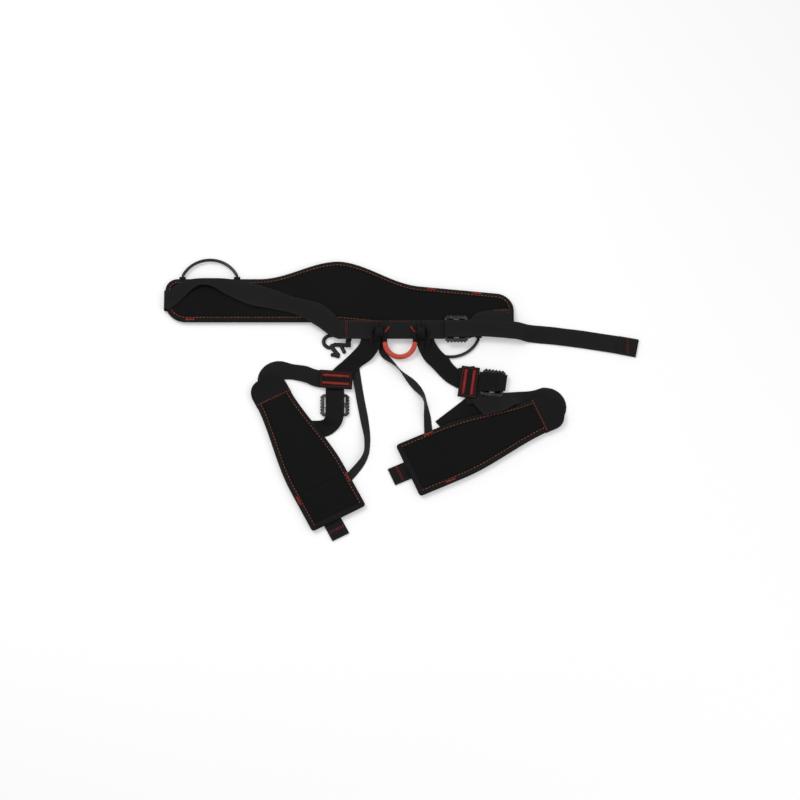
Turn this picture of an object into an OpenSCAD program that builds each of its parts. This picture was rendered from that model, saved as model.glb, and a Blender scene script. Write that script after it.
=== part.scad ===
// Half-body safety harness, opened out and laid flat on its outer side.
// X runs along the waist pad, Y from the leg loops to the waist pad, Z up from the ground.

/* [Waist pad] */
// Length of the waist pad
waist_l = 757; // [620:1:920]
// Height of the pad at its two ends
waist_end_h = 102; // [84:1:124]
// Extra height of the lumbar arch
lumbar_rise = 42; // [20:1:60]
// Radius of the pad's end corners
waist_corner = 26; // [12:1:34]

/* [Padding] */
// Thickness of every pad, skins and foam together
pad_t = 12; // [9:0.5:16]
// Thickness of each fabric skin
skin_t = 1.5; // [1:0.1:2]
// Width of the tape bound round a pad's edge
binding_w = 4; // [3:0.5:6]

/* [Leg loops] */
// Length of a leg pad
leg_l = 360; // [300:1:430]
// Width of a leg pad at its wide end
leg_wide = 128; // [106:1:154]
// Width of a leg pad at its narrow end
leg_narrow = 80; // [74:1:96]
// Length of the webbing tab past a leg pad's wide end
tab_l = 37; // [25:1:50]

/* [Webbing] */
// Width of the load webbing
web_w = 44; // [40:1:46]
// Thickness of the load webbing
web_t = 2.2; // [1.6:0.1:2.6]
// Width of the elastic risers
riser_w = 18; // [14:1:22]
// Length of the loose waist tail past the pad
tail_l = 264; // [200:1:330]

/* [Buckles] */
// Length of a buckle along the strap
buckle_l = 50; // [44:1:60]
// Thickness of a buckle frame
buckle_t = 4; // [3.4:0.1:5]
// Width of a buckle's side rail
rail_w = 6; // [5:0.5:8]
// Length of the sliding bar along the strap
bar_l = 11; // [8:0.5:13]

/* [Belay bridge] */
// Distance between the two legs of the bridge
bridge_w = 64; // [54:1:76]
// Distance from the tie-in axis to the middle of the bridge
bridge_drop = 52; // [44:1:60]
// Diameter of the red sleeve
sleeve_d = 11; // [9:0.5:13]

/* [Gear loops] */
// Radius of a gear loop's tube line
gear_r = 65; // [54:1:78]
// Diameter of a gear loop's tube
gear_d = 7; // [6:0.5:8]

/* [Hidden] */
$fn = 48;

gap = 0.3;                        // clearance between neighbouring pieces
ply = web_t + gap;                // one webbing layer with its clearance
riser_t = web_t - gap;            // elastic is thinner than one layer
pad_z = ply;                      // pads lie on the webbing sewn along their outer face
pad_top = pad_z + pad_t;
belt_z = pad_top + gap;           // front belt and bands lie on the pad
belt_top = belt_z + web_t;

// Places of the main pieces in plan
waist_mid_x = -131.5;
waist_x0 = waist_mid_x - waist_l / 2;
waist_x1 = waist_mid_x + waist_l / 2;
waist_y = 178;                    // lower edge of the pad at its left end
waist_drop = 38;                  // how far the lower edge falls towards the right end
arch_half = 175;                  // half the length of the lumbar arch
belt_y = 158;                     // middle of the front belt
belt_x0 = -136;                   // where the front belt leaves the left band
buckle_x = 122;                   // waist buckle
fold_y = 82;                      // line across which both leg loops lift
fold_gap = 0.4;                   // gap left at that line on each side

// Gentle step from 0 to 1
function step01(t) = let (c = min(1, max(0, t))) c * c * (3 - 2 * c);
function waist_low(x) = waist_y - waist_drop * max(0, (x - waist_mid_x) / (waist_l / 2));
function arch(x) = abs(x - waist_mid_x) < arch_half ? pow(cos(90 * (x - waist_mid_x) / arch_half), 2) : 0;
function waist_high(x) = waist_low(x) + waist_end_h + lumbar_rise * arch(x);

// Outline of the waist pad, drawn in by d
function waist_outline(d) = let (
        r = waist_corner - d,
        x0 = waist_x0 + d,
        x1 = waist_x1 - d,
        n = 26,
        xs = [for (i = [0:n]) x0 + r + (x1 - x0 - 2 * r) * i / n],
        turn = [for (a = [0:15:75]) a])
    concat(
        [for (a = turn) let (x = x0 + r * (1 - cos(a))) [x, waist_high(x) - d - r * (1 - sin(a))]],
        [for (x = xs) [x, waist_high(x) - d]],
        [for (a = turn) let (x = x1 - r * (1 - sin(a + 15))) [x, waist_high(x) - d - r * (1 - cos(a + 15))]],
        [for (a = turn) let (x = x1 - r * (1 - cos(a))) [x, waist_low(x) + d + r * (1 - sin(a))]],
        [for (i = [n:-1:0]) [xs[i], waist_low(xs[i]) + d]],
        [for (a = turn) let (x = x0 + r * (1 - sin(a + 15))) [x, waist_low(x) + d + r * (1 - cos(a + 15))]]);

// Outline of a leg pad in its own frame, x from the narrow end to the wide end, drawn in by d
leg_narrow_r = 30;                                // rounding of the narrow end's corners
leg_wide_r = 7;                                   // and of the wide end's
function leg_half(u) = let (t = (u + leg_l / 2 - 40) / (0.6 * leg_l))
    leg_narrow / 2 + (leg_wide - leg_narrow) / 2 * step01(t);
function leg_outline(d) = let (
        ra = leg_narrow_r - d,
        rb = leg_wide_r - d,
        x0 = -leg_l / 2 + d,
        x1 = leg_l / 2 - d,
        n = 16,
        xs = [for (i = [0:n]) x0 + ra + (x1 - x0 - ra - rb) * i / n],
        side = concat(
            [for (a = [0:15:75]) let (x = x0 + ra * (1 - cos(a))) [x, leg_half(x) - d - ra * (1 - sin(a))]],
            [for (x = xs) [x, leg_half(x) - d]],
            [for (a = [22.5:22.5:90]) let (x = x1 - rb * (1 - sin(a)))
                [x, leg_half(x) - d - rb * (1 - cos(a))]]))
    concat(side, [for (i = [len(side) - 1:-1:0]) [side[i][0], -side[i][1]]]);

// A flat strap swept along points [x, y, z, side angle, width], z being its underside
module ribbon(path, t) {
    last = 4 * (len(path) - 1);
    points = [for (p = path) let (c = cos(p[3]) * p[4] / 2, s = sin(p[3]) * p[4] / 2)
        each [[p[0] - c, p[1] - s, p[2]], [p[0] + c, p[1] + s, p[2]],
            [p[0] + c, p[1] + s, p[2] + t], [p[0] - c, p[1] - s, p[2] + t]]];
    sides = [for (i = [0:4:last - 4], k = [0:3]) let (a = i + k, b = i + (k + 1) % 4)
        each [[b, b + 4, a + 4], [b, a + 4, a]]];
    polyhedron(points, concat([[3, 2, 1], [3, 1, 0]], sides,
        [[last, last + 1, last + 2], [last, last + 2, last + 3]]));
}

// Side angles that follow from the route itself; from and to replace those at its two ends
function laid(route, w, from = undef, to = undef) = let (n = len(route) - 1)
    [for (i = [0:n]) let (
            p = route[max(0, i - 1)],
            q = route[min(n, i + 1)],
            a = atan2(q[1] - p[1], q[0] - p[0]) - 90)
        [route[i][0], route[i][1], route[i][2],
            i == 0 && !is_undef(from) ? from : (i == n && !is_undef(to) ? to : a), w]];

// Frames of the two leg pads: middle, direction from narrow to wide end, and which side is up
left_leg = [[-212, -115], -62.5, 1];
right_leg = [[181, -93], 204, -1];
function at_leg(leg, u, v) = let (a = leg[1], w = v * leg[2])
    [leg[0][0] + u * cos(a) - w * sin(a), leg[0][1] + u * sin(a) + w * cos(a)];
module in_leg(leg) {
    translate([leg[0][0], leg[0][1], 0])
        rotate([0, 0, leg[1]])
            mirror([0, leg[2] < 0 ? 1 : 0, 0])
                children();
}

// ---- Pads: a skin below, foam, a lining on top and a tape round the edge ----
module slab(points, z, t) {
    translate([0, 0, z])
        linear_extrude(height = t)
            polygon(points);
}
module rim(outer, inner) {
    difference() {
        slab(outer, pad_z, pad_t);
        slab(inner, pad_z - 1, pad_t + 2);
    }
}
foam_t = pad_t - 2 * skin_t;                      // foam between the two skins

module waist_pad_shell() {
    color([0.06, 0.06, 0.07]) slab(waist_outline(binding_w), pad_z, skin_t);
}
module waist_pad_foam() {
    color([0.25, 0.25, 0.27]) slab(waist_outline(binding_w), pad_z + skin_t, foam_t);
}
module waist_pad_lining() {
    color([0.05, 0.05, 0.05]) slab(waist_outline(binding_w), pad_top - skin_t, skin_t);
}
module waist_pad_binding() {
    color([0.09, 0.09, 0.09]) rim(waist_outline(0), waist_outline(binding_w));
}
module leg_pad_shell(leg) {
    color([0.06, 0.06, 0.07]) in_leg(leg) slab(leg_outline(binding_w), pad_z, skin_t);
}
module leg_pad_foam(leg) {
    color([0.25, 0.25, 0.27]) in_leg(leg) slab(leg_outline(binding_w), pad_z + skin_t, foam_t);
}
module leg_pad_lining(leg) {
    color([0.05, 0.05, 0.05]) in_leg(leg) slab(leg_outline(binding_w), pad_top - skin_t, skin_t);
}
module leg_pad_binding(leg) {
    color([0.09, 0.09, 0.09]) in_leg(leg) rim(leg_outline(0), leg_outline(binding_w));
}

// ---- Waist webbing ----
web_color = [0.16, 0.16, 0.17];
outer_y = waist_y + waist_end_h / 2;             // webbing line at the pad's left end
fold_t = web_t;                                   // the fold stands one layer past the pad's end
module waist_outer_webbing() {
    xs = [waist_x0, waist_mid_x, waist_x1];
    color(web_color)
        slab(concat([for (x = xs) [x, waist_low(x) + (waist_end_h + web_w) / 2]],
            [for (i = [2:-1:0]) [xs[i], waist_low(xs[i]) + (waist_end_h - web_w) / 2]]), 0, web_t);
}
module waist_left_fold() {
    color(web_color)
        translate([waist_x0 - gap - fold_t, outer_y - web_w / 2, 0])
            cube([fold_t, web_w, belt_top]);
}
left_rise = 30;                                   // how far the loose left band bows towards the pad's top
module waist_webbing_left() {
    x0 = waist_x0 - gap;
    n = 12;
    route = [for (i = [0:n]) let (s = i / n)
        [x0 + (belt_x0 - x0) * s,
            outer_y + (belt_y - outer_y) * pow(s, 2.6) + left_rise * sin(180 * s), belt_z]];
    color(web_color) ribbon(laid(route, web_w, -90, -90), web_t);
}
module waist_webbing_front() {
    color(web_color)
        translate([belt_x0 + gap, belt_y - web_w / 2, belt_z])
            cube([buckle_x + buckle_l / 2 - belt_x0 - gap, web_w, web_t]);
}
band_x0 = buckle_x + buckle_l / 2 + gap;
band_y1 = waist_low(waist_x1) + waist_end_h / 2;
band_w1 = 66;                                     // the band widens where it is sewn to the pad's end
module waist_webbing_right() {
    end_y = band_y1 - 17;
    route = [[band_x0, belt_y, belt_z, -90, web_w],
        [band_x0 + 30, belt_y + 14, belt_z, -90, band_w1 - 8],
        [waist_x1 - 4, end_y, belt_z, -90, band_w1]];
    color(web_color) ribbon(route, web_t);
}
tail_z = belt_top + gap;                          // the tail lies over the right band
over_z = tail_z + buckle_t + gap;                 // and over the waist buckle
tail_turn = waist_x1 + 2;                         // line across which the loose tail lifts
tail_y = 155;                                     // middle of the tail at that line
module waist_tail_root() {
    x1 = buckle_x + buckle_l / 2 + gap;
    route = [[buckle_x - buckle_l / 2, belt_y, over_z], [x1, belt_y, over_z],
        [x1 + 22, belt_y + 3, tail_z], [waist_x1 - 30, tail_y + 3, tail_z],
        [tail_turn - fold_gap, tail_y, tail_z]];
    color(web_color) ribbon(laid(route, web_w - 4, -90, -90), web_t);
}
module waist_tail_end() {
    x0 = tail_turn + fold_gap;
    n = 8;
    fall = 28;                                    // length over which the tail drops to the ground
    bend = 36;                                    // how far its end swings forward
    route = [for (i = [0:n]) let (s = i / n, x = x0 + tail_l * s)
        [x, tail_y - bend * pow(s, 1.5), tail_z * (1 - step01((x - x0) / fall / 1.5))]];
    color(web_color) ribbon(laid(route, web_w - 2, -90, -90), web_t);
}

// ---- Adjuster buckle: a toothed frame and a bar that slides in its two rails ----
window_w = web_w + 2;                             // room for the webbing between the rails
frame_w = window_w + 2 * rail_w;
cross_w = 6;                                      // fixed cross bar at each end
slot_d = 3;                                       // depth of the guide slot in each rail
slot_h = 1.8;                                     // height of the guide slot
bar_play = 0.15;                                  // clearance round the bar
bar_travel = 4;                                   // travel each way from the middle
teeth = 6;                                        // grip teeth along each rail
tooth_d = 5;                                      // diameter of a tooth
corner_r = 6;                                     // rounding of the frame's corners
module rounded(w, l, r) {
    linear_extrude(height = buckle_t)
        union() {
            square([w - 2 * r, l], center = true);
            square([w, l - 2 * r], center = true);
            for (x = [-1, 1], y = [-1, 1])
                translate([x * (w / 2 - r), y * (l / 2 - r)]) circle(r = r);
        }
}
module buckle_frame() {
    color([0.5, 0.5, 0.52])
        difference() {
            union() {
                rounded(frame_w, buckle_l, corner_r);
                for (x = [-1, 1], i = [0:teeth - 1])
                    translate([x * frame_w / 2, (i - (teeth - 1) / 2) * (buckle_l - 14) / (teeth - 1), 0])
                        cylinder(d = tooth_d, h = buckle_t);
            }
            translate([-window_w / 2, cross_w - buckle_l / 2, -1])
                cube([window_w, buckle_l - 2 * cross_w, buckle_t + 2]);
            translate([-window_w / 2 - slot_d, -bar_l / 2 - bar_travel - bar_play, (buckle_t - slot_h) / 2])
                cube([window_w + 2 * slot_d, bar_l + 2 * bar_travel + 2 * bar_play, slot_h]);
        }
}
module buckle_bar() {
    ear_w = window_w + 2 * slot_d - 2 * bar_play;
    body_w = window_w - 2 * bar_play;
    color([0.62, 0.62, 0.64])
        difference() {
            union() {
                translate([-ear_w / 2, -bar_l / 2, (buckle_t - slot_h) / 2 + bar_play])
                    cube([ear_w, bar_l, slot_h - 2 * bar_play]);
                translate([-body_w / 2, -bar_l / 2, bar_play])
                    cube([body_w, bar_l, buckle_t - 2 * bar_play]);
            }
            for (i = [-1:1])                      // grip grooves across the bar
                translate([-body_w / 2 - 1, i * bar_l / 4 - 0.6, buckle_t - 0.9])
                    cube([body_w + 2, 1.2, 1]);
        }
}
module at_waist_buckle() {
    translate([buckle_x, belt_y, tail_z]) rotate([0, 0, 90]) children();
}
left_buckle = [-140, -14, ply, 0];                // middle, underside and turn of the left leg buckle
right_buckle = [175 + buckle_l / 2, 36, 2 * ply, 82]; // and of the right one, which grows away from its block
module at_buckle(place) {
    translate([place[0], place[1], place[2]]) rotate([0, 0, place[3]]) children();
}

// ---- Tie-in eyes and the belay bridge that hangs in them ----
eye_r = 5.6;                                      // bore of a tie-in eye
eye_wall = 3.4;                                   // thickness of the eye's folded webbing
eye_w = 16;                                       // width of an eye along the axis
bridge_r = 4.8;                                   // radius of the bridge webbing
eye_y = 146;
eye_z = belt_top + gap + eye_r + eye_wall;
eye_x = bridge_w / 2 + bridge_r + 0.5 + eye_w / 2;
bridge_tilt = 20;                                 // slope of the bridge down to the ground
module tie_in_eye(side) {
    color([0.10, 0.10, 0.10])
        translate([side * eye_x - eye_w / 2, eye_y, eye_z])
            rotate([0, 90, 0])
                difference() {
                    cylinder(r = eye_r + eye_wall, h = eye_w);
                    translate([0, 0, -1]) cylinder(r = eye_r, h = eye_w + 2);
                }
}
leg_run = bridge_drop - bridge_w / 2;             // straight part of each bridge leg
core_r = sleeve_d / 2 - 2;                        // cord inside the red sleeve, which is 2 thick
module on_bridge() {
    translate([0, eye_y, eye_z]) rotate([bridge_tilt, 0, 0]) children();
}
module bridge_webbing() {
    color([0.12, 0.12, 0.12])
        on_bridge() {
            for (s = [-1, 1]) {
                translate([s > 0 ? bridge_w / 2 : -eye_x - eye_w / 2 - 1, 0, 0])
                    rotate([0, 90, 0])
                        cylinder(r = bridge_r, h = eye_x + eye_w / 2 + 1 - bridge_w / 2);
                translate([s * bridge_w / 2, 0, 0]) sphere(r = bridge_r);
                translate([s * bridge_w / 2, 0, 0]) rotate([90, 0, 0]) cylinder(r = bridge_r, h = leg_run);
            }
            for (s = [-1, 1])
                translate([s * bridge_w / 2, -leg_run + 1, 0])
                    rotate([90, 0, 0])
                        cylinder(r = core_r, h = 1 + gap);
            translate([0, -leg_run - gap, 0])
                rotate([0, 0, 180])
                    rotate_extrude(angle = 180)
                        translate([bridge_w / 2, 0])
                            circle(r = core_r);
        }
}
module bridge_sleeve() {
    color([0.84, 0.25, 0.2])
        on_bridge()
            translate([0, -leg_run - gap, 0])
                rotate([0, 0, 180])
                    rotate_extrude(angle = 180)
                        translate([bridge_w / 2, 0])
                            difference() {
                                circle(d = sleeve_d);
                                circle(r = core_r + gap / 2);
                            }
}

// ---- Gear loops: a glossy tube over a cord, with a webbing tab at each end ----
cord_r = gear_d / 2 - 1.5;                        // cord inside a gear loop's tube
tab_t = 5;                                        // thickness of the tabs that hold it
tab_w = 14;                                       // and their width
gear_left_x = -414;                               // middle of the left hoop
gear_left_z = pad_z + pad_t / 2;                  // it leaves the pad at half its thickness
gear_left_half = 66;                              // half the angle that the left hoop turns through
gear_left_y = waist_high(gear_left_x) + 7 - gear_r * cos(gear_left_half);
gear_right = [109, 164];                          // centre of the right hoop
gear_right_from = 190;                            // angle at which it starts
gear_right_turn = 150;                            // and how far it turns
module hoop(centre, z, from, turn, r0, r1) {
    translate([centre[0], centre[1], z])
        rotate([0, 0, from])
            rotate_extrude(angle = turn)
                translate([gear_r, 0])
                    difference() {
                        circle(r = r1);
                        if (r0 > 0) circle(r = r0);
                    }
}
module gear_loop_left_tube() {
    color([0.08, 0.08, 0.09])
        hoop([gear_left_x, gear_left_y], gear_left_z, 90 - gear_left_half, 2 * gear_left_half,
            cord_r + gap / 2, gear_d / 2);
}
module gear_loop_left_core() {
    color([0.3, 0.3, 0.3])
        hoop([gear_left_x, gear_left_y], gear_left_z, 90 - gear_left_half, 2 * gear_left_half, 0, cord_r);
}
module gear_loop_left_tabs() {
    reach = gear_r * sin(gear_left_half);
    color(web_color)
        for (s = [-1, 1]) {
            x = gear_left_x + s * reach;
            y0 = max(waist_high(x - tab_w / 2), waist_high(x + tab_w / 2)) + gap;
            translate([x - tab_w / 2, y0, gear_left_z - tab_t / 2])
                cube([tab_w, gear_left_y + gear_r * cos(gear_left_half) - y0 - 1.9, tab_t]);
        }
}
module gear_loop_right_tube() {
    color([0.08, 0.08, 0.09])
        hoop(gear_right, gear_d / 2, gear_right_from, gear_right_turn, cord_r + gap / 2, gear_d / 2);
}
module gear_loop_right_core() {
    color([0.3, 0.3, 0.3])
        hoop(gear_right, gear_d / 2, gear_right_from, gear_right_turn, 0, cord_r);
}
module gear_loop_right_tabs() {
    color(web_color)
        for (a = [gear_right_from, gear_right_from + gear_right_turn]) {
            x = gear_right[0] + gear_r * cos(a);
            y = gear_right[1] + gear_r * sin(a) + 1.8;
            y1 = min(waist_low(x - tab_w / 2), waist_low(x + tab_w / 2)) - gap;
            translate([x - tab_w / 2, y, gear_d / 2 - tab_t / 2])
                cube([tab_w, max(1, y1 - y), tab_t]);
        }
}

// ---- Plastic hook of the risers ----
hook_t = 6;                                       // thickness of the hook
hook_pin = [-112, 126];                           // pin that it swivels on
module riser_hook() {
    color([0.07, 0.07, 0.07])
        translate([hook_pin[0], hook_pin[1], 0])
            linear_extrude(height = hook_t)
                difference() {
                    union() {
                        circle(d = 13);
                        translate([-36, -2.5]) square([36, 5]);
                        translate([-40, 8]) circle(r = 12);
                        translate([-33, -5]) rotate(-50) square([26, 5]);
                        translate([-14, -2]) rotate(-62) square([22, 5]);
                        translate([-33, -25]) rotate(-12) square([18, 5]);
                    }
                    circle(d = 6);
                    translate([-40, 8]) circle(r = 7);
                }
}
module riser_hook_tab() {
    pin_r = 2.7;
    tape_w = 12;
    color(web_color) {
        translate([hook_pin[0], hook_pin[1], 0]) cylinder(r = pin_r, h = hook_t + gap);
        ribbon(laid([[hook_pin[0], hook_pin[1] - tape_w / 2, hook_t + gap],
            [hook_pin[0], hook_pin[1] + tape_w / 2, hook_t + gap],
            [hook_pin[0] + 6, belt_y, belt_z - ply]], tape_w), web_t);
    }
}

// ---- Leg loops ----
fan_r = web_w / 2 + 2;                            // the webbing turns round a pad's narrow end on this radius
function web_line(leg) = leg[2] > 0 ? 6 : -8;     // line of the outer webbing across the pad
function fan_u(leg) = -leg_l / 2 + (leg[2] > 0 ? 16 : 30);
// Webbing turning from one direction to another round a centre, with angles taken from that centre
function turn(centre, from, to, z, w) = [for (i = [0:6]) let (a = from + (to - from) * i / 6)
    [centre[0] + fan_r * cos(a), centre[1] + fan_r * sin(a), z, to < from ? a - 180 : a, w]];
function end_turn(leg, to) =
    turn(at_leg(leg, fan_u(leg), web_line(leg) + fan_r), leg[1] - 90 * leg[2], to, 0, web_w);

module leg_outer_webbing(leg) {
    p = at_leg(leg, fan_u(leg) + gap, web_line(leg));
    q = at_leg(leg, leg_l / 2 - 4, web_line(leg));
    color(web_color) ribbon(laid([[p[0], p[1], 0], [q[0], q[1], 0]], web_w), web_t);
}
module leg_tail_tab(leg, v) {
    color(web_color)
        in_leg(leg)
            translate([leg_l / 2 + gap, v - web_w / 2 + 2, 0])
                cube([tab_l, web_w - 4, 2 * web_t]);
}
left_block = [-138, 44, -4];                      // middle and turn of the left stitched block
right_block = [148, 38, -8];                      // and of the right one
block_l = 72;                                     // length of a block along its band
block_t = web_t;
module stitched_block(place, l, w) {
    color([0.13, 0.13, 0.13])
        translate([place[0], place[1], 3 * ply])
            rotate([0, 0, place[2]])
                translate([-l / 2, -w / 2, 0])
                    cube([l, w, block_t]);
}
module leg_left_band() {
    band_w = web_w - 4;
    sweep = end_turn(left_leg, -277);
    last = sweep[6];
    x0 = left_block[0] - block_l / 2;
    color(web_color)
        ribbon(concat(sweep,
            [[(last[0] * 2 + x0) / 3, last[1] - 4, ply / 2, -97, band_w - 4],
                [(last[0] + 2 * x0) / 3, last[1] - 11, 2 * ply, -97, band_w - 2],
                [x0, left_block[1] + 3, 2 * ply, -94, band_w],
                [x0 + block_l, left_block[1] - 2, 2 * ply, -94, band_w]]), web_t);
}
module leg_right_band() {
    band_w = web_w - 8;
    sweep = end_turn(right_leg, 455);
    corner = turn([right_block[0] + 29, 14], 280, 188, ply, band_w);
    last = sweep[6];
    ramp_x = last[0] - 81;                        // where the band rises over the adjuster strap
    x = right_block[0];
    y = right_block[1];
    color(web_color)
        ribbon(concat(sweep,
            [[last[0] - 24, last[1] - 4, 0, 100, band_w], [ramp_x + 19, last[1] - 4.4, 0, 98, band_w],
                [ramp_x, last[1] - 6.4, ply, 99, band_w]],
            corner,
            [[x + 5, y - block_l / 2 + 12, 2 * ply, 8, band_w],
                [x - 5, y + block_l / 2, 2 * ply, 8, band_w]]),
            web_t);
}
strap_z = belt_z - ply;                           // tie straps start under the front belt
left_cross = -104;                                // where the left tie strap crosses the fold line
right_cross = 88;                                 // and the right one
left_cross_z = ply;                               // its height there
right_cross_z = gear_d + 2 * gap;                 // the right one passes over the gear loop
module leg_left_tie_strap_upper() {
    color(web_color)
        ribbon([[-62, 144, strap_z, 172, web_w], [-66, 122, strap_z - 2, 165, web_w],
            [-82, 100, (strap_z + left_cross_z) / 2, 158, web_w],
            [left_cross, fold_y + fold_gap, left_cross_z, 180, web_w + 4]], web_t);
}
module leg_left_tie_strap_lower() {
    x = left_buckle[0];
    y = left_buckle[1];
    color(web_color)
        ribbon([[left_cross, fold_y - fold_gap, left_cross_z, 180, web_w + 4],
            [-124, 62, left_cross_z, 160, web_w], [left_block[0], 40, left_cross_z, 178, web_w - 2],
            [x, y + buckle_l / 2 + 12, left_cross_z, 180, web_w - 4],
            [x, y + buckle_l / 2 + 4, 0, 180, web_w - 4],
            [x, y - buckle_l / 2 + 4, 0, 180, web_w - 4]], web_t);
}
module leg_left_adjuster_strap() {
    x = left_buckle[0];
    y = left_buckle[1];
    over = left_buckle[2] + buckle_t + gap;
    w = web_w - 4;
    color(web_color)
        ribbon([[x, left_block[1] - w / 2 - 5, left_cross_z + ply, 180, w],
            [x, y + buckle_l / 2, over, 180, w], [x - 1, y - buckle_l / 2 - 4, over, 180, w],
            [x - 13, y - buckle_l / 2 - 21, over / 6, 140, w],
            [x - 28, y - buckle_l / 2 - 28, 0, 106, w], [x - 53, y - buckle_l / 2 - 29, 0, 96, w]], web_t);
}
module leg_right_tie_strap_upper() {
    color(web_color)
        ribbon([[52, 144, strap_z, 200, web_w - 4], [58, 122, strap_z - 1.5, 208, web_w - 4],
            [70, 100, (strap_z + right_cross_z) / 2, 208, web_w - 2],
            [right_cross, fold_y + fold_gap, right_cross_z, 180, web_w]], web_t);
}
module leg_right_tie_strap_lower() {
    x = right_buckle[0];
    y = right_buckle[1];
    w = web_w - 4;
    color(web_color)
        ribbon([[right_cross, fold_y - fold_gap, right_cross_z, 180, web_w],
            [102, 66, ply, 228, w], [118, 52, ply, 240, w],
            [right_block[0], y + 3, ply, 262, w], [x + buckle_l / 2 - 18, y + 1, ply, 264, w - 4]], web_t);
}
module leg_right_strap_return() {
    x = right_buckle[0];
    y = right_buckle[1];
    over = right_buckle[2] + buckle_t + gap;
    color(web_color)
        ribbon([[x - buckle_l / 2 + 2, y + 2, over, 262, web_w - 6],
            [x + buckle_l / 2 + 4, y - 1, over, 262, web_w - 6]], web_t);
}
module leg_right_adjuster_strap() {
    w = web_w - 6;
    p = at_leg(right_leg, 70, leg_half(70) - 7);
    x = right_buckle[0];
    y = right_buckle[1];
    color(web_color)
        ribbon(laid([[x + 10, y - 6, 0], [(x + p[0]) / 2, (y + p[1]) / 2, 0],
            [p[0], p[1], 0]], w), web_t);
}
riser_color = [0.14, 0.14, 0.15];
module leg_left_riser_upper() {
    color(riser_color)
        ribbon(laid([[-96, fold_y + fold_gap, 0], [-88, 105, 0], [-74, 135, 0], [-64, 165, 0],
            [-62, 188, 0]], riser_w, 0), riser_t);
}
module leg_left_riser_lower() {
    p = at_leg(left_leg, 110, leg_half(110) - 16);
    color(riser_color)
        ribbon(laid([[-96, fold_y - fold_gap, 0], [-89, 20, 0], [-74, -60, 0], [-70, -110, 0],
            [-82, -152, 0], [p[0], p[1], 0]], riser_w, 180), riser_t);
}
module leg_right_riser_upper() {
    color(riser_color)
        ribbon(laid([[-14, fold_y + fold_gap, 0], [-34, 104, 0], [-38, 135, 0], [-38, 188, 0]],
            riser_w, 0), riser_t);
}
module leg_right_riser_lower() {
    p = at_leg(right_leg, 110, leg_half(110) - 18);
    color(riser_color)
        ribbon(laid([[-14, fold_y - fold_gap, 0], [8, 58, 0], [34, 30, 0], [52, 0, 0],
            [58, -35, 0], [p[0], p[1], 0]], riser_w, 180), riser_t);
}

left_tab_v = -15;                                 // lines of the tail tabs across the pads
right_tab_v = 3;
// The whole harness stands over the middle of its own outline
low_corner = at_leg(left_leg, leg_l / 2 + gap + tab_l, left_tab_v - web_w / 2 + 2);
high_y = gear_left_y + gear_r + gear_d / 2;
centre = [(waist_x0 - gap - fold_t + tail_turn + fold_gap + tail_l) / 2, (low_corner[1] + high_y) / 2];
module placed() {
    translate([-centre[0], -centre[1], 0]) children();
}

placed() waist_pad_shell();
placed() waist_pad_foam();
placed() waist_pad_lining();
placed() waist_pad_binding();
placed() waist_outer_webbing();
placed() waist_left_fold();
placed() waist_webbing_left();
placed() waist_webbing_front();
placed() waist_webbing_right();
placed() waist_tail_root();
placed() waist_tail_end();
placed() at_waist_buckle() buckle_frame();  // waist_buckle_frame
placed() at_waist_buckle() buckle_bar();  // waist_buckle_bar
placed() tie_in_eye(-1);  // tie_in_eye_left
placed() tie_in_eye(1);  // tie_in_eye_right
placed() bridge_webbing();
placed() bridge_sleeve();
placed() gear_loop_left_tube();
placed() gear_loop_left_core();
placed() gear_loop_left_tabs();
placed() gear_loop_right_tube();
placed() gear_loop_right_core();
placed() gear_loop_right_tabs();
placed() riser_hook();
placed() riser_hook_tab();
placed() leg_pad_shell(left_leg);  // leg_left_pad_shell
placed() leg_pad_foam(left_leg);  // leg_left_pad_foam
placed() leg_pad_lining(left_leg);  // leg_left_pad_lining
placed() leg_pad_binding(left_leg);  // leg_left_pad_binding
placed() leg_outer_webbing(left_leg);  // leg_left_outer_webbing
placed() leg_left_band();
placed() stitched_block(left_block, block_l, web_w - 2);  // leg_left_stitched_block
placed() leg_left_tie_strap_upper();
placed() leg_left_tie_strap_lower();
placed() leg_left_adjuster_strap();
placed() at_buckle(left_buckle) buckle_frame();  // leg_left_buckle_frame
placed() at_buckle(left_buckle) buckle_bar();  // leg_left_buckle_bar
placed() leg_tail_tab(left_leg, left_tab_v);  // leg_left_tail_tab
placed() leg_left_riser_upper();
placed() leg_left_riser_lower();
placed() leg_pad_shell(right_leg);  // leg_right_pad_shell
placed() leg_pad_foam(right_leg);  // leg_right_pad_foam
placed() leg_pad_lining(right_leg);  // leg_right_pad_lining
placed() leg_pad_binding(right_leg);  // leg_right_pad_binding
placed() leg_outer_webbing(right_leg);  // leg_right_outer_webbing
placed() leg_right_band();
placed() stitched_block(right_block, web_w - 4, block_l);  // leg_right_stitched_block
placed() leg_right_tie_strap_upper();
placed() leg_right_tie_strap_lower();
placed() leg_right_adjuster_strap();
placed() leg_right_strap_return();
placed() at_buckle(right_buckle) buckle_frame();  // leg_right_buckle_frame
placed() at_buckle(right_buckle) buckle_bar();  // leg_right_buckle_bar
placed() leg_tail_tab(right_leg, right_tab_v);  // leg_right_tail_tab
placed() leg_right_riser_upper();
placed() leg_right_riser_lower();
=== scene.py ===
import bpy, bmesh, math
import numpy as np
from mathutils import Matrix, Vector, noise
from mathutils.bvhtree import BVHTree


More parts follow.
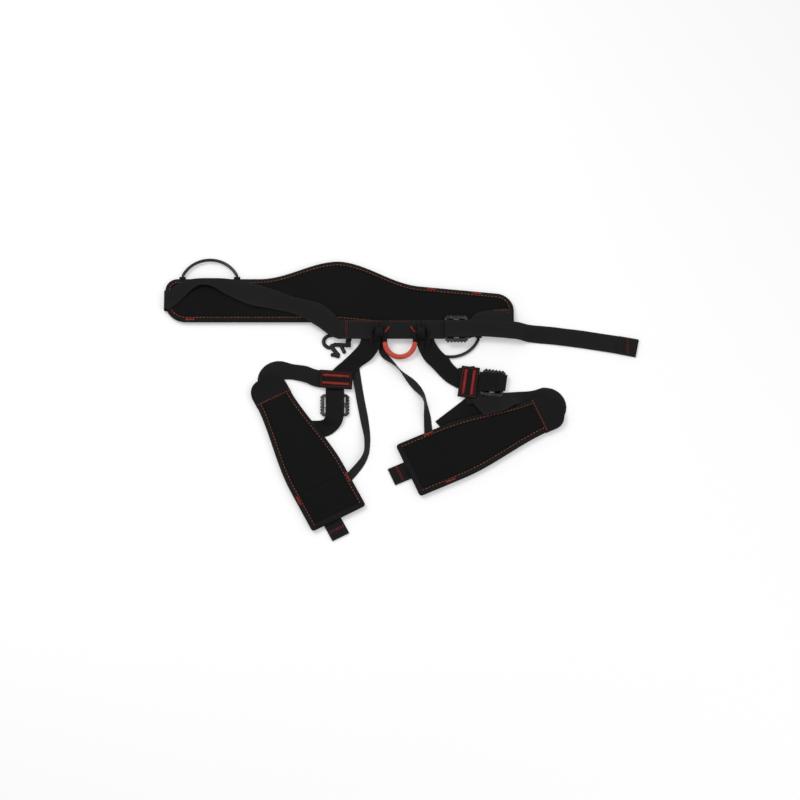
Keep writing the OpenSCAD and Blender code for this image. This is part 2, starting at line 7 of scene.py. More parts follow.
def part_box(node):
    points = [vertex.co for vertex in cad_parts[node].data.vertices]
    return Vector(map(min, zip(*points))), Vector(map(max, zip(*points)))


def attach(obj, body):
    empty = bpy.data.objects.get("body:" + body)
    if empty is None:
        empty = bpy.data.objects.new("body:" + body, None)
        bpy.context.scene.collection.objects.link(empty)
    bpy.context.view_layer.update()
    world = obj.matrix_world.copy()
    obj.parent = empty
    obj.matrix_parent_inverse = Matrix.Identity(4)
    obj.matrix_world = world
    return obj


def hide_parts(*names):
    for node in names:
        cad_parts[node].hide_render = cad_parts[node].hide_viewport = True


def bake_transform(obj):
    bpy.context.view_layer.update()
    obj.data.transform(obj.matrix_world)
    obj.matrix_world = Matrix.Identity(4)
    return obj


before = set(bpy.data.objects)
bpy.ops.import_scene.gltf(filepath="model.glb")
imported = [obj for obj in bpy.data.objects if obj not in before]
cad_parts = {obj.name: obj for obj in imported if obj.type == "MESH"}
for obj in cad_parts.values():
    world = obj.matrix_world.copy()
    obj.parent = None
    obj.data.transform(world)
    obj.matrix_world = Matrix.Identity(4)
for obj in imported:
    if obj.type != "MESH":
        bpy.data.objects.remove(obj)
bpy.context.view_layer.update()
print("frame loaded:", len(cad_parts), "nodes")

# The layout below is in millimetres; the waist buckle ties it to the frame.
buckleMid = (122.0, 158.0)
lowBuckle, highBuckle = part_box("waist_buckle_frame")
shiftX = (lowBuckle.x + highBuckle.x) * 500 - buckleMid[0]
shiftY = (lowBuckle.y + highBuckle.y) * 500 - buckleMid[1]


def toFrame(p):
    return Vector((p[0] + shiftX, p[1] + shiftY, p[2])) * 0.001


def step01(t):
    t = min(1.0, max(0.0, t))
    return t * t * (3 - 2 * t)


def mix(a, b, t):
    return a + (b - a) * t


def turned(x, y, degrees):
    a = math.radians(degrees)
    return x * math.cos(a) - y * math.sin(a), x * math.sin(a) + y * math.cos(a)


# Shader maths: a socket that can be added, multiplied and so on
class Wire:
    def __init__(self, net, socket):
        self.net, self.socket = net, socket

    def maths(self, kind, a, b):
        return self.net.add("ShaderNodeMath", {"operation": kind}, {0: a, 1: b})

    def __add__(self, other): return self.maths("ADD", self, other)
    def __radd__(self, other): return self.maths("ADD", other, self)
    def __sub__(self, other): return self.maths("SUBTRACT", self, other)
    def __rsub__(self, other): return self.maths("SUBTRACT", other, self)
    def __mul__(self, other): return self.maths("MULTIPLY", self, other)
    def __rmul__(self, other): return self.maths("MULTIPLY", other, self)
    def __truediv__(self, other): return self.maths("DIVIDE", self, other)
    def __abs__(self): return self.maths("ABSOLUTE", self, 0.0)

    def sine(self): return self.maths("SINE", self, 0.0)
    def fraction(self): return self.maths("FRACT", self, 0.0)


# A material and the nodes that feed its shader; sizes on the surface are in metres
class Finish:
    def __init__(self, name, **sockets):
        self.material = bpy.data.materials.new(name)
        self.material.use_nodes = True
        self.tree = self.material.node_tree
        self.skin = self.tree.nodes["Principled BSDF"]
        self.set(**sockets)

    def put(self, socket, value):
        if isinstance(value, Wire):
            self.tree.links.new(value.socket, socket)
        else:
            socket.default_value = value

    def set(self, **sockets):
        for name, value in sockets.items():
            self.put(self.skin.inputs[name.replace("_", " ")], value)

    def add(self, kind, settings=None, values=None, out=0):
        node = self.tree.nodes.new(kind)
        for key, value in (settings or {}).items():
            if key == "stops":
                for element, (at, level) in zip(node.color_ramp.elements, value):
                    element.position, element.color = at, (level, level, level, 1)
            else:
                setattr(node, key, value)
        for key, value in (values or {}).items():
            self.put(node.inputs[key], value)
        return Wire(self, node.outputs[out])

    def place(self, turn=0.0):
        spot = self.add("ShaderNodeTexCoord", out=3)
        if turn:
            spot = self.add("ShaderNodeMapping", None,
                            {"Vector": spot, "Rotation": (0, 0, math.radians(turn))})
        return spot

    def weaveUv(self):
        return self.add("ShaderNodeUVMap", {"uv_map": "weave"})

    def parts(self, vector):
        node = self.tree.nodes.new("ShaderNodeSeparateXYZ")
        self.tree.links.new(vector.socket, node.inputs[0])
        return [Wire(self, out) for out in node.outputs]

    def cloud(self, vector, scale, detail=3.0, rough=0.55):
        return self.add("ShaderNodeTexNoise", None,
                        {"Vector": vector, "Scale": scale, "Detail": detail, "Roughness": rough})

    def ramp(self, value, low, high):
        return self.add("ShaderNodeMapRange", None, {"Value": value, "From Min": low, "From Max": high})

    def blend(self, a, b, share):
        node = self.tree.nodes.new("ShaderNodeMix")
        node.data_type = "RGBA"
        self.put(node.inputs[0], share)
        for socket, colour in ((node.inputs[6], a), (node.inputs[7], b)):
            self.put(socket, colour if isinstance(colour, Wire) else (*colour, 1.0))
        return Wire(self, node.outputs[2])

    def bump(self, height, depth, strength=1.0):
        values = {"Height": height, "Distance": depth, "Strength": strength}
        self.set(Normal=self.add("ShaderNodeBump", None, values))


tau = 2 * math.pi


# Woven strap: rows of slanted ribs that turn back along the middle of each band
def wovenFinish(name, dark, light, rib=0.0016, band=0.0055, depth=0.0006, rough=0.6):
    f = Finish(name, Roughness=rough, Sheen_Weight=0.012, Sheen_Roughness=0.5, Specular_IOR_Level=0.13)
    across, along, _ = f.parts(f.weaveUv())
    zig = abs((across / band).fraction() - 0.5) * band
    ribs = ((along + zig * 0.9) * (tau / rib)).sine() * 0.5 + 0.5
    ends = (across * (tau / (band * 0.25))).sine() * 0.5 + 0.5
    weave = ribs * 0.7 + ends * 0.3
    patch = f.cloud(f.place(), 26.0, 4.0)
    fuzz = f.cloud(f.place(), 1400.0, 2.0)
    rim = f.add("ShaderNodeAttribute", {"attribute_name": "rim"}, out=2)
    tone = f.ramp(weave * 0.7 + patch * 0.35 + fuzz * 0.2 + rim * 0.25, 0.15, 1.15)
    f.set(Base_Color=f.blend(dark, light, tone), Roughness=rough - 0.1 + patch * 0.2)
    f.bump(weave + fuzz * 0.35, depth, 1.0)
    return f.material


# Pad cloth: plain square weave over soft padding, with faint rubbed patches
def clothFinish(name, dark, light, turn, thread=0.0011, rough=0.8):
    f = Finish(name, Roughness=rough, Sheen_Weight=0.012, Sheen_Roughness=0.45, Specular_IOR_Level=0.09)
    x, y, _ = f.parts(f.place(turn))
    warp = (x * (tau / thread)).sine()
    weft = (y * (tau / thread)).sine()
    weave = warp * weft * 0.5 + 0.5
    patch = f.cloud(f.place(), 9.0, 5.0, 0.6)
    lint = f.cloud(f.place(), 420.0, 3.0, 0.7)
    tone = f.ramp(weave * 0.35 + patch * 0.7 + lint * 0.5, 0.35, 1.25)
    f.set(Base_Color=f.blend(dark, light, tone), Roughness=rough - 0.08 + patch * 0.16)
    f.bump(weave * 0.6 + lint * 0.6, 0.0003, 0.7)
    return f.material


def threadFinish(name, dark, light):
    f = Finish(name, Roughness=0.5, Specular_IOR_Level=0.3)
    spot = f.place()
    x, y, z = f.parts(spot)
    twist = ((x + y + z) * (tau / 0.0009)).sine() * 0.5 + 0.5
    patch = f.cloud(spot, 60.0)
    f.set(Base_Color=f.blend(dark, light, f.ramp(twist * 0.4 + patch, 0.3, 1.0)))
    f.bump(twist, 0.0001, 0.6)
    return f.material


def metalFinish(name, dark, light, rough, turn):
    f = Finish(name, Metallic=1.0)
    spot = f.place(turn)
    x, y, z = f.parts(spot)
    stretched = f.add("ShaderNodeCombineXYZ", None, {0: x * 0.06, 1: y, 2: z})
    brushed = f.cloud(stretched, 1500.0, 3.0)
    patch = f.cloud(spot, 70.0, 4.0, 0.65)
    worn = f.ramp(patch, 0.42, 0.62)
    f.set(Base_Color=f.blend(dark, light, worn * 0.7 + brushed * 0.3),
          Roughness=rough + patch * 0.22 - 0.1 + brushed * 0.06)
    f.bump(brushed * 0.5 + patch, 0.00012, 0.5)
    return f.material


def braidFinish(name, dark, light, pitch, depth, rough=0.42):
    f = Finish(name, Roughness=rough, Sheen_Weight=0.12, Specular_IOR_Level=0.35)
    across, along, _ = f.parts(f.weaveUv())
    one = ((across + along) * (tau / pitch)).sine()
    two = ((across - along) * (tau / pitch)).sine()
    braid = one * two * 0.5 + 0.5
    patch = f.cloud(f.place(), 80.0, 4.0)
    f.set(Base_Color=f.blend(dark, light, f.ramp(braid * 0.6 + patch * 0.6, 0.2, 0.95)),
          Roughness=rough - 0.06 + patch * 0.16)
    f.bump(braid, depth, 0.8)
    return f.material


def mouldedFinish(name, dark, light, rough, grain, coat=0.0):
    f = Finish(name, Specular_IOR_Level=0.26, Coat_Weight=coat, Coat_Roughness=0.08)
    spot = f.place()
    fine = f.cloud(spot, 1800.0, 2.0)
    patch = f.cloud(spot, 45.0, 5.0, 0.6)
    f.set(Base_Color=f.blend(dark, light, patch * 0.7 + fine * 0.3), Roughness=rough - 0.05 + patch * 0.12)
    f.bump(fine + patch * 0.8, grain, 0.5)
    return f.material


def grey(level):
    return level, level, level


webbing = wovenFinish("charcoalWebbing", grey(0.0036), grey(0.0170))
darkWebbing = wovenFinish("tieWebbing", grey(0.0026), grey(0.0110), rib=0.0014, band=0.0045)
elastic = wovenFinish("riserElastic", grey(0.008), grey(0.022), rib=0.0022, band=0.0018, depth=0.0003)
edgeTape = wovenFinish("grosgrainTape", grey(0.0028), grey(0.0080), rib=0.0012, band=0.02, depth=0.00025)
redThread = threadFinish("redThread", (0.18, 0.011, 0.010), (0.40, 0.030, 0.022))
orangeThread = threadFinish("orangeThread", (0.34, 0.05, 0.016), (0.62, 0.13, 0.036))
frameSteel = metalFinish("buckleSteel", grey(0.022), grey(0.075), 0.38, 0)
barSteel = metalFinish("barSteel", grey(0.12), grey(0.34), 0.34, 90)
sleeveRed = braidFinish("redSleeve", (0.39, 0.028, 0.018), (0.68, 0.078, 0.044), 0.0030, 0.0003)
cordCore = braidFinish("loopCord", grey(0.012), grey(0.04), 0.0016, 0.0002, 0.7)
glossyTube = mouldedFinish("glossyTube", grey(0.003), grey(0.007), 0.2, 0.00006, 0.35)
hookPlastic = mouldedFinish("hookPlastic", grey(0.003), grey(0.009), 0.42, 0.00012)
waistCloth = clothFinish("waistPadCloth", grey(0.0028), grey(0.0076), 0)
legLeftCloth = clothFinish("legLeftPadCloth", grey(0.0028), grey(0.0076), 62.5)
legRightCloth = clothFinish("legRightPadCloth", grey(0.0028), grey(0.0076), -24)
print("finishes made")


trackStep = 5.0      # distance between the cross sections of a strap, in millimetres


def easedRoute(route, step):
    # route entries are (x, y, z, side angle, width); x and y run smoothly, z never overshoots
    route = list(route)
    for i in range(1, len(route)):
        x, y, z, angle, width = route[i]
        last = route[i - 1][3]
        route[i] = (x, y, z, last + (angle - last + 180) % 360 - 180, width)
    flat = [Vector((p[0], p[1])) for p in route]
    n = len(route) - 1
    gaps = [max(0.01, (Vector(route[i + 1][:3]) - Vector(route[i][:3])).length) for i in range(n)]
    rise = [(route[i + 1][2] - route[i][2]) / gaps[i] for i in range(n)]
    slope = [0.0] * (n + 1)
    for i in range(1, n):
        if rise[i - 1] * rise[i] > 0:
            slope[i] = 2 * rise[i - 1] * rise[i] / (rise[i - 1] + rise[i])
    out = []
    for i in range(n):
        before, after = flat[max(0, i - 1)], flat[min(n, i + 2)]
        a, b, g = flat[i], flat[i + 1], gaps[i]
        leave = (b - before) * (0.5 if i > 0 else 1.0)
        arrive = (after - a) * (0.5 if i < n - 1 else 1.0)
        count = max(1, round(g / step))
        for k in range(count + (1 if i == n - 1 else 0)):
            t = k / count
            h00, h10 = 2 * t ** 3 - 3 * t * t + 1, t ** 3 - 2 * t * t + t
            h01, h11 = 3 * t * t - 2 * t ** 3, t ** 3 - t * t
            xy = a * h00 + leave * h10 + b * h01 + arrive * h11
            p, q = route[i], route[i + 1]
            z = (p[2] * h00 + slope[i] * g * h10 + q[2] * h01 + slope[i + 1] * g * h11)
            out.append((xy.x, xy.y, z, mix(p[3], q[3], t), mix(p[4], q[4], step01(t))))
    return out


def laid(route, width, first=None):
    # turns the strap square to its own path; first is the side angle at the start
    n = len(route) - 1
    out = []
    for i, p in enumerate(route):
        a, b = route[max(0, i - 1)], route[min(n, i + 1)]
        angle = math.degrees(math.atan2(b[1] - a[1], b[0] - a[0])) - 90
        if i == 0 and first is not None:
            angle = first
        if out:
            angle = out[-1][3] + (angle - out[-1][3] + 180) % 360 - 180
        out.append((p[0], p[1], p[2], angle, width))
    return out


def trackOf(route, thick):
    # middle line, side direction and width at each step
    out = []
    for x, y, z, angle, width in easedRoute(route, trackStep):
        a = math.radians(angle)
        out.append((Vector((x, y, z + thick / 2)), Vector((math.cos(a), math.sin(a), 0)), width))
    return out


class Shape:
    def __init__(self):
        self.points, self.faces, self.uvs, self.rims = [], [], [], []

    def rings(self, rings, around, along, rims, closed=False):
        # skins a row of equal rings; around and along are in millimetres
        start, n, rows = len(self.points), len(rings[0]), len(rings)
        for ring in rings:
            self.points.extend(ring)
            self.rims.extend(rims)
        for i in range(rows if closed else rows - 1):
            here, there = start + i * n, start + (i + 1) % rows * n
            v0, v1 = along[i], along[i + 1]
            for j in range(n):
                k = (j + 1) % n
                u0, u1 = around[j], around[j + 1]
                self.faces.append((here + j, here + k, there + k, there + j))
                self.uvs.append(((u0, v0), (u1, v0), (u1, v1), (u0, v1)))
        if not closed:
            for row, flip in ((0, True), (rows - 1, False)):
                order = [start + row * n + j for j in range(n)]
                self.faces.append(tuple(reversed(order)) if flip else tuple(order))
                self.uvs.append(tuple((0.0, along[row]) for _ in order))

    def strap(self, track, thick, loose=0.0, seed=0.0):
        # flat band with rounded edges: 8 strips on each face, 4 round each edge
        half = thick / 2
        rings, along, travelled = [], [0.0], 0.0
        for i, (mid, side, width) in enumerate(track):
            before, after = track[max(0, i - 1)][0], track[min(len(track) - 1, i + 1)][0]
            up = side.cross((after - before).normalized()).normalized()
            flat = width / 2 - half
            section = [(mix(-flat, flat, s / 8), -half) for s in range(9)]
            for a in (-50, 0, 50):
                section.append((flat + half * math.cos(math.radians(a)), half * math.sin(math.radians(a))))
            section += [(mix(flat, -flat, s / 8), half) for s in range(9)]
            for a in (130, 180, 230):
                section.append((-flat + half * math.cos(math.radians(a)), half * math.sin(math.radians(a))))
            ring = []
            for u, v in section:
                p = mid + side * u + up * v
                give = loose(mid) if callable(loose) else loose
                if give:
                    ends = min(1.0, min(i, len(track) - 1 - i) / 4)
                    wave = noise.noise(Vector((p.x * 0.022, p.y * 0.022, seed))) + 0.55
                    p = p + up * (give * ends * max(0.0, wave) * math.copysign(1, up.z))
                ring.append(p)
            rings.append(ring)
            if i:
                travelled += (mid - track[i - 1][0]).length
                along.append(travelled)
        width = track[0][2]
        around = [0.0]
        for s in range(24):
            around.append(around[-1] + (width / 8 if s % 12 < 8 else thick * 0.4))
        rims = [abs(2 * min(s % 12, 8) / 8 - 1) ** 5 if s % 12 < 9 else 1.0 for s in range(24)]
        self.rings(rings, around, along, rims)

    def tube(self, path, radius, sides=14, squeeze=1.0):
        # squeeze flattens the section along its own upright direction
        rings, along, travelled = [], [0.0], 0.0
        radiusAt = radius if callable(radius) else lambda t: radius
        up = Vector((0, 0, 1))
        for i, p in enumerate(path):
            tangent = (path[min(len(path) - 1, i + 1)] - path[max(0, i - 1)]).normalized()
            up = (up - tangent * up.dot(tangent)).normalized()
            side = tangent.cross(up)
            r = radiusAt(i / (len(path) - 1))
            ring = []
            for s in range(sides):
                a = tau * s / sides
                ring.append(p + side * (r * math.cos(a)) + up * (r * squeeze * math.sin(a)))
            rings.append(ring)
            if i:
                travelled += (p - path[i - 1]).length
                along.append(travelled)
        around = [tau * radiusAt(0.5) * s / sides for s in range(sides + 1)]
        self.rings(rings, around, along, [0.0] * sides)

    def make(self, name, finish):
        mesh = bpy.data.meshes.new(name)
        mesh.from_pydata([toFrame(p) for p in self.points], [], self.faces)
        weave = mesh.uv_layers.new(name="weave")
        weave.data.foreach_set("uv", [c * 0.001 for face in self.uvs for uv in face for c in uv])
        rim = mesh.attributes.new("rim", "FLOAT", "POINT")
        rim.data.foreach_set("value", self.rims)
        mesh.materials.append(finish)
        return outward(addObject(name, mesh))


def addObject(name, mesh):
    piece = bpy.data.objects.new(name, mesh)
    bpy.context.scene.collection.objects.link(piece)
    return piece


def outward(piece):
    # faces point out, and edges over 40 degrees stay crisp
    soft = bmesh.new()
    soft.from_mesh(piece.data)
    bmesh.ops.recalc_face_normals(soft, faces=soft.faces)
    soft.to_mesh(piece.data)
    soft.free()
    piece.data.shade_smooth()
    piece.data.set_sharp_from_angle(angle=math.radians(40))
    return piece


def settle(piece, body, slotName, *nodes):
    # piece moves with a body and stands for those nodes
    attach(piece, body)
    if nodes:
        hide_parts(*nodes)
    return piece


def across(piece, bodyA, bodyB, start, end, slotName, *nodes):
    # piece keeps the place it was built in, baked into its mesh, and stands for those nodes
    toFrame(start)
    toFrame(end)
    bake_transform(piece)
    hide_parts(*nodes)
    return piece


def applied(piece):
    # evaluated result as a plain mesh, with no modifier left
    graph = bpy.context.evaluated_depsgraph_get()
    mesh = bpy.data.meshes.new_from_object(piece.evaluated_get(graph))
    piece.modifiers.clear()
    old = piece.data
    piece.data = mesh
    mesh.name = piece.name
    if old.users == 0:
        bpy.data.meshes.remove(old)
    return piece


class Surface:
    # height of the topmost of some pieces, in millimetres
    def __init__(self, *pieces):
        self.trees = []
        for piece in pieces:
            points = [v.co.copy() for v in piece.data.vertices]
            self.trees.append(BVHTree.FromPolygons(points, [tuple(p.vertices) for p in piece.data.polygons]))

    def top(self, x, y):
        start = toFrame((x, y, 80.0))      # well above every piece
        hits = [tree.ray_cast(start, Vector((0, 0, -1)))[0] for tree in self.trees]
        return max([hit.z for hit in hits if hit], default=0.0) * 1000


# Stitches are laid along lines by geometry nodes
def stitchTree():
    tree = bpy.data.node_groups.new("stitchRow", "GeometryNodeTree")
    face = tree.interface
    face.new_socket("Geometry", in_out="INPUT", socket_type="NodeSocketGeometry")
    for name, kind in (("Pitch", "Float"), ("Along", "Float"), ("Across", "Float"), ("Height", "Float"),
                       ("Wander", "Float"), ("Seed", "Int"), ("Thread", "Material")):
        face.new_socket(name, in_out="INPUT", socket_type="NodeSocket" + kind)
    face.new_socket("Geometry", in_out="OUTPUT", socket_type="NodeSocketGeometry")

    def new(kind, settings=None, values=None, out=0):
        node = tree.nodes.new(kind)
        for key, value in (settings or {}).items():
            setattr(node, key, value)
        for key, value in (values or {}).items():
            if isinstance(value, bpy.types.NodeSocket):
                tree.links.new(value, node.inputs[key])
            else:
                node.inputs[key].default_value = value
        return node.outputs[out]

    given = tree.nodes.new("NodeGroupInput").outputs
    line = new("GeometryNodeMeshToCurve", None, {"Mesh": given["Geometry"]})
    even = new("GeometryNodeResampleCurve", {"mode": "LENGTH"}, {"Curve": line, "Length": given["Pitch"]})
    ball = new("GeometryNodeMeshUVSphere", None, {"Segments": 6, "Rings": 4, "Radius": 0.5})
    size = new("ShaderNodeCombineXYZ", None,
               {"X": given["Along"], "Y": given["Across"], "Z": given["Height"]})
    stitch = new("GeometryNodeTransform", None, {"Geometry": ball, "Scale": size})
    aim = new("FunctionNodeAlignRotationToVector", {"axis": "X"}, {"Vector": new("GeometryNodeInputTangent")})
    most = new("ShaderNodeMath", {"operation": "ADD"}, {0: given["Wander"], 1: 1.0})
    least = new("ShaderNodeMath", {"operation": "SUBTRACT"}, {0: 1.0, 1: given["Wander"]})
    chance = new("FunctionNodeRandomValue", {"data_type": "FLOAT"},
                 {2: least, 3: most, "Seed": given["Seed"]}, 1)
    placed = new("GeometryNodeInstanceOnPoints", None,
                 {"Points": even, "Instance": stitch, "Rotation": aim, "Scale": chance})
    real = new("GeometryNodeRealizeInstances", None, {"Geometry": placed})
    coated = new("GeometryNodeSetMaterial", None, {"Geometry": real, "Material": given["Thread"]})
    tree.links.new(coated, tree.nodes.new("NodeGroupOutput").inputs[0])
    return tree


rowTree = stitchTree()
# Stitch sizes in millimetres; Wander is the share by which their size varies
dashStitch = {"Pitch": 7.4, "Along": 4.7, "Across": 1.1, "Height": 0.9, "Wander": 0.12}
fineStitch = {"Pitch": 4.6, "Along": 3.4, "Across": 0.9, "Height": 0.8, "Wander": 0.12}
barStitch = {"Pitch": 1.15, "Along": 1.3, "Across": 6.4, "Height": 1.3, "Wander": 0.08}


def stitchRows(name, body, rows, kind, thread, slotName, seed=3):
    # rows are lists of points in millimetres
    mesh = bpy.data.meshes.new(name)
    points, edges = [], []
    for row in rows:
        start = len(points)
        points += [toFrame(p) for p in row]
        edges += [(start + i, start + i + 1) for i in range(len(row) - 1)]
    mesh.from_pydata(points, edges, [])
    piece = addObject(name, mesh)
    rule = piece.modifiers.new("rows", "NODES")
    rule.node_group = rowTree
    values = {key: value if key == "Wander" else value * 0.001 for key, value in kind.items()}
    values.update({"Seed": seed, "Thread": thread})
    for item in rowTree.interface.items_tree:
        if item.in_out == "INPUT" and item.name in values:
            rule[item.identifier] = values[item.name]
    applied(piece)
    piece.data.shade_smooth()
    return settle(piece, body, slotName)


def line(a, b, surface, lift=0.25):
    # points from a to b lying on a surface
    n = max(2, round(math.dist(a, b) / 4))
    return onto([(mix(a[0], b[0], i / n), mix(a[1], b[1], i / n)) for i in range(n + 1)], surface, lift)


def onto(path, surface, lift=0.25):
    return [(x, y, surface.top(x, y) + lift) for x, y in path]


# Pads; the corners go round from the high left one
waist = {"length": 757.0, "midX": -131.5, "lowY": 178.0, "drop": 38.0, "endHeight": 102.0, "rise": 42.0,
         "archHalf": 175.0, "corners": (26.0, 36.0, 26.0, 46.0), "spans": 60}
leg = {"length": 360.0, "wide": 64.0, "narrow": 40.0, "narrowCorner": 30.0, "wideCorner": 7.0, "spans": 34,
       "seamAt": 96.0, "seamInset": 13.0}
waistX0, waistX1 = waist["midX"] - waist["length"] / 2, waist["midX"] + waist["length"] / 2


def waistLow(x):
    return waist["lowY"] - waist["drop"] * max(0, (x - waist["midX"]) / (waist["length"] / 2))


def waistHigh(x):
    off = x - waist["midX"]
    arch = math.cos(math.pi / 2 * off / waist["archHalf"]) ** 2 if abs(off) < waist["archHalf"] else 0
    return waistLow(x) + waist["endHeight"] + waist["rise"] * arch


def waistOutline(d):
    # closed line at distance d inside the pad's edge
    highLeft, highRight, lowRight, lowLeft = (max(0.6, r - d) for r in waist["corners"])
    x0, x1, n = waistX0 + d, waistX1 - d, waist["spans"]
    arc = [(math.sin(math.pi / 16 * i), math.cos(math.pi / 16 * i)) for i in range(9)]
    out = []
    for s, c in arc[:8]:
        x = x0 + highLeft * (1 - c)
        out.append((x, waistHigh(x) - d - highLeft * (1 - s)))
    for i in range(n + 1):
        x = mix(x0 + highLeft, x1 - highRight, i / n)
        out.append((x, waistHigh(x) - d))
    for s, c in arc[1:]:
        x = x1 - highRight * (1 - s)
        out.append((x, waistHigh(x) - d - highRight * (1 - c)))
    for s, c in arc[:8]:
        x = x1 - lowRight * (1 - c)
        out.append((x, waistLow(x) + d + lowRight * (1 - s)))
    for i in range(n + 1):
        x = mix(x1 - lowRight, x0 + lowLeft, i / n)
        out.append((x, waistLow(x) + d))
    for s, c in arc[1:]:
        x = x0 + lowLeft * (1 - s)
        out.append((x, waistLow(x) + d + lowLeft * (1 - c)))
    return out


def legHalf(u):
    # half width at u along the pad, from the narrow end to the wide one
    t = (u + leg["length"] / 2 - 40) / (0.6 * leg["length"])
    return leg["narrow"] + (leg["wide"] - leg["narrow"]) * step01(t)


def legOutline(d):
    ra, rb = max(0.6, leg["narrowCorner"] - d), max(0.6, leg["wideCorner"] - d)
    x0, x1, n = -leg["length"] / 2 + d, leg["length"] / 2 - d, leg["spans"]
    side = []
    for i in range(8):
        a = math.pi / 2 * i / 8
        x = x0 + ra * (1 - math.cos(a))
        side.append((x, legHalf(x) - d - ra * (1 - math.sin(a))))
    for i in range(n + 1):
        x = x0 + ra + (x1 - x0 - ra - rb) * i / n
        side.append((x, legHalf(x) - d))
    for i in range(1, 5):
        a = math.pi / 2 * i / 4
        x = x1 - rb * (1 - math.sin(a))
        side.append((x, legHalf(x) - d - rb * (1 - math.cos(a))))
    return side + [(x, -y) for x, y in reversed(side)]


# middle of each leg pad, its turn in degrees, and which side is up
leftLeg = ((-212.0, -115.0), -62.5, 1)
rightLeg = ((181.0, -93.0), 204.0, -1)


def atLeg(which, u, v):
    x, y = turned(u, v * which[2], which[1])
    return which[0][0] + x, which[0][1] + y


pad = {"low": 2.5, "high": 14.5, "rim": 2.9, "full": 4.9, "insets": (17.0, 11.0, 6.5, 3.0), "shoulder": 17.0,
       "voxel": 4.0, "fill": 0.55, "tapeWidth": 12.0, "seamIn": 9.6, "grooveDepth": 1.2, "grooveWidth": 2.6}
cover = {"pressure": 3.5, "quality": 5, "mass": 0.25, "spare": 0.03, "frames": 20, "cap": 1.0}
padMid = (pad["low"] + pad["high"]) / 2


def padHalf(d):
    # half thickness at distance d inside the edge
    return mix(pad["rim"], pad["full"], math.sin(math.pi / 2 * min(1.0, d / pad["shoulder"])))


def edgeDistance(outline, xy):
    # distance of each plan point from a closed line
    best = np.full(len(xy), 1e18)
    for a, b in zip(outline, outline[1:] + outline[:1]):
        a, d = np.array(a), np.array(b) - np.array(a)
        t = np.clip(((xy - a) @ d) / max(d @ d, 1e-9), 0, 1)
        best = np.minimum(best, ((xy - a - t[:, None] * d) ** 2).sum(1))
    return np.sqrt(best)


def planOf(mesh):
    # vertex places in millimetres, in the layout's own frame
    flat = np.empty(len(mesh.vertices) * 3)
    mesh.vertices.foreach_get("co", flat)
    return flat.reshape(-1, 3) * 1000 - np.array([shiftX, shiftY, 0.0])


def puffed(piece, sewn):
    # the cover is blown out a little by its filling and held along its sewn lines
    rest = [v.co.copy() for v in piece.data.vertices]
    held = piece.vertex_groups.new(name="held")
    held.add(np.flatnonzero(sewn).tolist(), 1.0, "REPLACE")
    puff = piece.modifiers.new("puff", "CLOTH")
    puff.settings.use_pressure = True
    puff.settings.uniform_pressure_force = cover["pressure"]
    puff.settings.quality = cover["quality"]
    puff.settings.mass = cover["mass"]
    puff.settings.shrink_min = -cover["spare"]
    puff.settings.vertex_group_mass = "held"
    puff.settings.effector_weights.gravity = 0
    puff.point_cache.frame_start, puff.point_cache.frame_end = 1, cover["frames"]
    for step in range(1, cover["frames"] + 1):
        bpy.context.scene.frame_set(step)
    applied(piece)
    most = cover["cap"] * 0.001
    for place, v in zip(rest, piece.data.vertices):
        move = v.co - place
        if move.length > most:
            v.co = place + move * (most / move.length)
    bpy.context.scene.frame_set(1)


def paddedBody(name, outlineAt, finish, seams, seed):
    # seams are lines in plan, sewn right through the pad
    rings = [(d, -padHalf(d)) for d in pad["insets"]] + [(1.6, -1.2), (1.6, 1.2)]
    rings += [(d, padHalf(d)) for d in reversed(pad["insets"])]
    rows = [[Vector((x, y, padMid + z)) for x, y in outlineAt(d)] for d, z in rings]
    n = len(rows[0])
    shape = Shape()
    shape.rings(rows, list(range(n + 1)), list(range(len(rows))), [0.0] * n)
    piece = shape.make(name, finish)
    remesh = piece.modifiers.new("even", "REMESH")
    remesh.mode, remesh.voxel_size = "VOXEL", pad["voxel"] * 0.001
    applied(piece)
    plan = planOf(piece.data)[:, :2]
    sewn = edgeDistance(outlineAt(0.0), plan) < pad["seamIn"] + 1.5
    for seam in seams:
        sewn |= edgeDistance(seam, plan) < 3.5
    puffed(piece, sewn)
    even = piece.modifiers.new("smooth", "SUBSURF")
    even.levels = even.render_levels = 1
    applied(piece)
    mesh = piece.data
    # the sewn lines press in, and soft hollows wander over the face
    plan = planOf(mesh)
    near = edgeDistance(outlineAt(pad["seamIn"] + 3.0), plan[:, :2])
    for seam in seams:
        near = np.minimum(near, edgeDistance(seam, plan[:, :2]))
    press = np.exp(-(near / pad["grooveWidth"]) ** 2) * pad["grooveDepth"]
    limit = padMid - pad["low"] - 0.25
    for v, (x, y, z), groove in zip(mesh.vertices, plan, press):
        z -= padMid
        hollow = noise.noise(Vector((x * 0.016, y * 0.016, seed))) * 0.55
        pucker = noise.noise(Vector((x * 0.06, y * 0.06, seed + 5))) * 0.35
        z += (hollow + pucker) * min(1.0, abs(z) / 3) - math.copysign(groove, z) * min(1.0, abs(z) / 2)
        v.co.z = (padMid + max(-limit, min(limit, z))) * 0.001
    mesh.materials.clear()
    mesh.materials.append(finish)
    for p in mesh.polygons:
        p.material_index = 0
    mesh.shade_smooth()
    print(name, len(mesh.polygons), "faces")
    return piece


